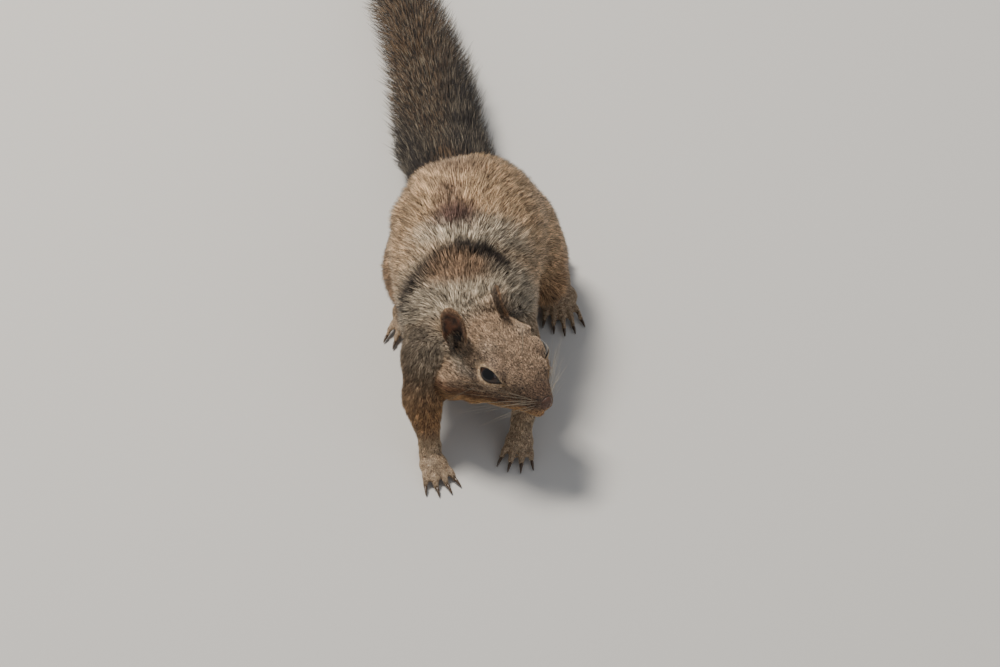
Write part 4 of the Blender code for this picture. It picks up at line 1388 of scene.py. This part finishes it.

# %% [markdown]
# The skin shows only in gaps between the tufts, and there it has to look like deep fur: its bands are
# scattered by a fine noise and darkened by painted shade, the shade the tufts cast into those gaps. The
# bare places are laid over that by attributes: the ears' insides, nose and soles in tones of their own, the
# lid edges in their dark skin, and the nostrils, ear canals and the line of the mouth in near black, which
# is painted shade in those hollows.

# %% Skin material
head = in_head(points)
pad = 1 - ease(ellipsoid_gap(head, *NOSE_PAD), 1.0, 1.15)
# the mouth line and the nostrils are painted near black as painted shade in their hollows; the lid edges
# are the lids' own dark skin
lips = 0.85 * (1 - ease(np.abs(above_mouth(head)), 0.15, 0.5)) * mouth * shares["head"]
lid_rims_and_hollow_shade = np.maximum(point_values(skin.data, "nostril"), lips)
for side in SIDES:
    lid_rims_and_hollow_shade = np.maximum(lid_rims_and_hollow_shade, lid_edge(head, side, (0.15, 0.4), 2.5))
sole = ease(-normals[:, 2], 0.6, 0.85) * (points[:, 2] < 2.2 * MM) * shares["foot"]
for name, values in {"nose_leather": pad, "lid_rims_and_hollow_shade": lid_rims_and_hollow_shade, "sole": sole}.items():
    set_point_values(skin.data, name, values)

hide, hide_shader = lit_material("skin_under_fur", (0.2, 0.15, 0.1), 0.62)
tree = hide.node_tree
where = object_place(tree)
pale, deep = painted_tones(tree)
along = smooth_step(tree, noise(tree, where, 1300, 3), 0.25, 0.8)
chance, lock = noise(tree, where, 2100, 1), noise(tree, where, 700, 1)
under = use_group(tree, banded_hair, Pale=pale, Deep=deep, Along=along, Chance=chance, Lock=lock)
# painted shade: the skin in the gaps is darkened as the tufts over it would shade it
colour = mix_colours(tree, 1.0, under, (0.62, 0.58, 0.55), "MULTIPLY")
blotches = smooth_step(tree, noise(tree, where, 260, 4), 0.35, 0.65)
bare_skin = {
    "ear_inner": mix_colours(tree, blotches, tone(44, 26, 18), tone(108, 68, 45)),
    # near black: painted shade inside the ear canal
    "ear_canal": tone(26, 17, 14),
    "nose_leather": mix_colours(tree, noise(tree, where, 900, 3), tone(44, 28, 21), tone(100, 66, 48)),
    "sole": tone(120, 92, 76),
    # painted shade in the nostrils and the crease of the mouth, and the lids' own dark rims
    "lid_rims_and_hollow_shade": tone(30, 20, 18),
}
for name, skin_tone in bare_skin.items():
    colour = mix_colours(tree, attribute(tree, name), colour, skin_tone)
tree.links.new(colour, hide_shader.inputs["Base Color"])
moist = mix_colours(tree, attribute(tree, "nose_leather"), (0.62, 0.62, 0.62), (0.46, 0.46, 0.46))
tree.links.new(moist, hide_shader.inputs["Roughness"])
add_bump(tree, hide_shader, use_group(tree, skin_grain, Vector=where, Scale=1900.0), 0.6, 0.2 * MM)


def dress(piece, material):
    """Gives a piece its only material and rounds it."""
    piece.data.materials.clear()
    piece.data.materials.append(material)
    piece.data.shade_smooth()


dress(skin, hide)
print("bare places:", *bare_skin)

# %% [markdown]
# Each zone's tufts become one piece, or a few where they would be too many triangles for one. A zone has
# its own seed, so a change to one zone leaves the others as they were.

# %% Lay the coat
PIECE_LIMIT = 195000
coat_pieces = []
for seed, zone in enumerate(COAT, 100):
    dice = np.random.default_rng(seed)
    spine, up, width, carried, place_on_sheet = tuft_centrelines(zone, dice)
    triangles_each = SIDES_OF_TUFT * 2 * COAT[zone][4]
    parts = math.ceil(len(spine) * triangles_each / PIECE_LIMIT)
    material = tail_fur if zone == "tail" else fur
    for part, members in enumerate(np.array_split(np.argsort(spine[:, 0, 0]), parts), 1):
        name = f"coat_{zone}_{part}" if parts > 1 else f"coat_{zone}"
        some = {key: values[members] for key, values in carried.items()}
        piece = tuft_piece(name, spine[members], up[members], width[members], some,
                           place_on_sheet[members], material)
        coat_pieces.append(piece)
    print(zone, len(spine), "tufts in", parts, "pieces")

# %% [markdown]
# The eye is a ball of black glass to look at: a very dark brown iris about a large pupil, under a clear
# wet surface that bulges a little in front. One polished sphere with a darker middle does it.

# %% Eyes
CORNEA_BULGE, CORNEA_FROM, CORNEA_TO = 0.045, 0.62, 0.95
eye_material, eye_shader = lit_material("wet_eye", (0.01, 0.006, 0.004), 0.06)
for label, value in {"Specular IOR Level": 0.4, "Coat Weight": 0.25, "Coat Roughness": 0.02}.items():
    eye_shader.inputs[label].default_value = value
tree = eye_material.node_tree
off_axis = attribute(tree, "off_axis")
iris = mix_colours(tree, noise(tree, object_place(tree), 1400, 3), tone(30, 17, 10), tone(58, 34, 20))
colour = mix_colours(tree, smooth_step(tree, off_axis, 0.42, 0.52), tone(6, 5, 5), iris)
colour = mix_colours(tree, smooth_step(tree, off_axis, 0.80, 0.95), colour, tone(16, 10, 8))
tree.links.new(colour, eye_shader.inputs["Base Color"])


def eyeball(side):
    """A sphere with its pole on the line of sight and a slight bulge there."""
    deselect_all()
    bpy.ops.mesh.primitive_uv_sphere_add(segments=64, ring_count=40, radius=1, location=(0, 0, 0))
    ball = bpy.context.active_object
    ball.name = ball.data.name = "eyeball_" + side
    gaze = (LOOK_OUT * (SIDES[side], 1, 1)) @ HEAD_AXES
    turn = np.array(Vector(gaze).to_track_quat("Z", "Y").to_matrix())
    shape = mesh_points(ball.data)
    bulge = 1 + CORNEA_BULGE * ease(shape[:, 2], CORNEA_FROM, CORNEA_TO)
    off = np.arccos(np.clip(shape[:, 2], -1, 1))
    put_points(ball.data, (shape * bulge[:, None] * EYE_RADIUS * MM) @ turn.T + np.array(EYES[side]))
    set_point_values(ball.data, "off_axis", off)
    dress(ball, eye_material)
    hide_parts("eye_" + side)
    return ball


eyeballs = [eyeball(side) for side in SIDES]
print("eyeballs of", round(2 * EYE_RADIUS, 1), "mm")

# %% [markdown]
# Claws are curved horn sheaths. The solids' claws are coarse cages, so each foot's are copied, welded,
# joined and rounded with Subdivision Surface, under streaky dark horn.

# %% Claws
CLAW_ROUNDING = 2
horn, horn_shader = lit_material("claw_horn", (0.05, 0.04, 0.03), 0.32)
tree = horn.node_tree
where = object_place(tree)
colour = mix_colours(tree, noise(tree, where, 1500, 3), tone(40, 32, 27), tone(104, 84, 66))
tree.links.new(colour, horn_shader.inputs["Base Color"])
add_bump(tree, horn_shader, use_group(tree, skin_grain, Vector=where, Scale=2600.0), 0.25, 0.1 * MM)

claw_pieces = []
for foot in FLESH["foot"]:
    nodes = sorted(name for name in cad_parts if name.startswith("claw_" + foot))
    copies = [welded_copy(node, node + "_copy") for node in nodes]
    select_only(*reversed(copies))
    bpy.ops.object.join()
    claws = bpy.context.active_object
    claws.name = claws.data.name = "claws_" + foot
    apply_modifier(claws, "SUBSURF", levels=CLAW_ROUNDING, render_levels=CLAW_ROUNDING)
    dress(claws, horn)
    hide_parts(*nodes)
    claw_pieces.append(claws)
    print(claws.name, len(nodes), "claws")

# %% [markdown]
# Whiskers are long, stiff and finely tapered, and stand in rows on the pads beside the nose, with a few
# over the eye and on the cheek. Each is a curve with a round bevel whose radius falls to almost nothing,
# made a mesh, and all of one side are joined.

# %% Whiskers
WHISKER_RADIUS, WHISKER_UNDER = 0.095 * MM, 0.4 * MM
WHISKER_STEPS = np.arange(9) / 8
BROW_WHISKERS = (24.0, 13.2, (0.45, 0.55, 0.7), 17.0), (27.0, 13.4, (0.4, 0.7, 0.6), 14.0)
CHEEK_WHISKER = (30.0, -2.0, (0.8, 0.5, -0.25), 19.0)
whisker_material, whisker_shader = lit_material("whisker_hair", (0.3, 0.25, 0.2), 0.35)
tree = whisker_material.node_tree
where = object_place(tree)
shade_of = mix_colours(tree, noise(tree, where, 60, 1), tone(66, 50, 38), tone(206, 192, 166))
tree.links.new(shade_of, whisker_shader.inputs["Base Color"])


def pad_whiskers():
    """Where the whiskers of one pad stand, which way they point and how long they are."""
    for row in range(4):
        for column in range(4):
            back = 5.0 + 1.9 * column
            rise = 2.2 - 1.35 * row - 0.12 * column
            yield back, rise, (0.86, 0.28 + 0.05 * back, 0.26 - 0.2 * row), 13 + 2.0 * back


def whisker_places(root, way, length, sag):
    """Points along a whisker that droops under its own weight."""
    steps = WHISKER_STEPS[:, None]
    places = root + way * length * steps
    places[:, 2:] -= sag * length * steps**2
    return places


def whiskers(side, dice):
    head = in_head(points)
    data = tube_curve("whiskers_" + side, WHISKER_RADIUS, 1)
    for back, rise, way, length in (*pad_whiskers(), *BROW_WHISKERS, CHEEK_WHISKER):
        wrong_side = head[:, 0] * SIDES[side] < 1.5
        miss = np.abs(head[:, 1] - back) + np.abs(head[:, 2] - rise) + 50 * wrong_side
        way = np.array(way) * (SIDES[side], 1, 1) + dice.normal(0, 0.08, 3)
        way = (way / np.linalg.norm(way)) @ HEAD_AXES
        root = points[np.argmin(miss)] - way * WHISKER_UNDER
        length, sag = length * dice.uniform(0.8, 1.15) * MM, dice.uniform(0.02, 0.22)
        add_spline(data, whisker_places(root, way, length, sag), 1 - 0.9 * WHISKER_STEPS**0.8)
    piece = tube_mesh("whiskers_" + side, data)
    dress(piece, whisker_material)
    return piece


whisker_pieces = [whiskers(side, np.random.default_rng(seed)) for seed, side in enumerate(SIDES, 7)]
print("whiskers:", [len(piece.data.polygons) for piece in whisker_pieces], "faces")

# %% [markdown]
# Last, every piece is hung on the one body of the still model, the skin takes the place of the solids of
# flesh, and the coat's triangles are counted.

# %% Hang everything on the frame
flesh_nodes = [node for nodes in FLESH.values() for node in nodes if not node.startswith("eye")]
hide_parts(*flesh_nodes, *TAIL_NODES)
for piece in (skin, *coat_pieces, *eyeballs, *claw_pieces, *whisker_pieces):
    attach(piece, BODY)
triangles = sum(sum(len(face.vertices) - 2 for face in piece.data.polygons) for piece in coat_pieces)
print("coat:", triangles, "triangles")
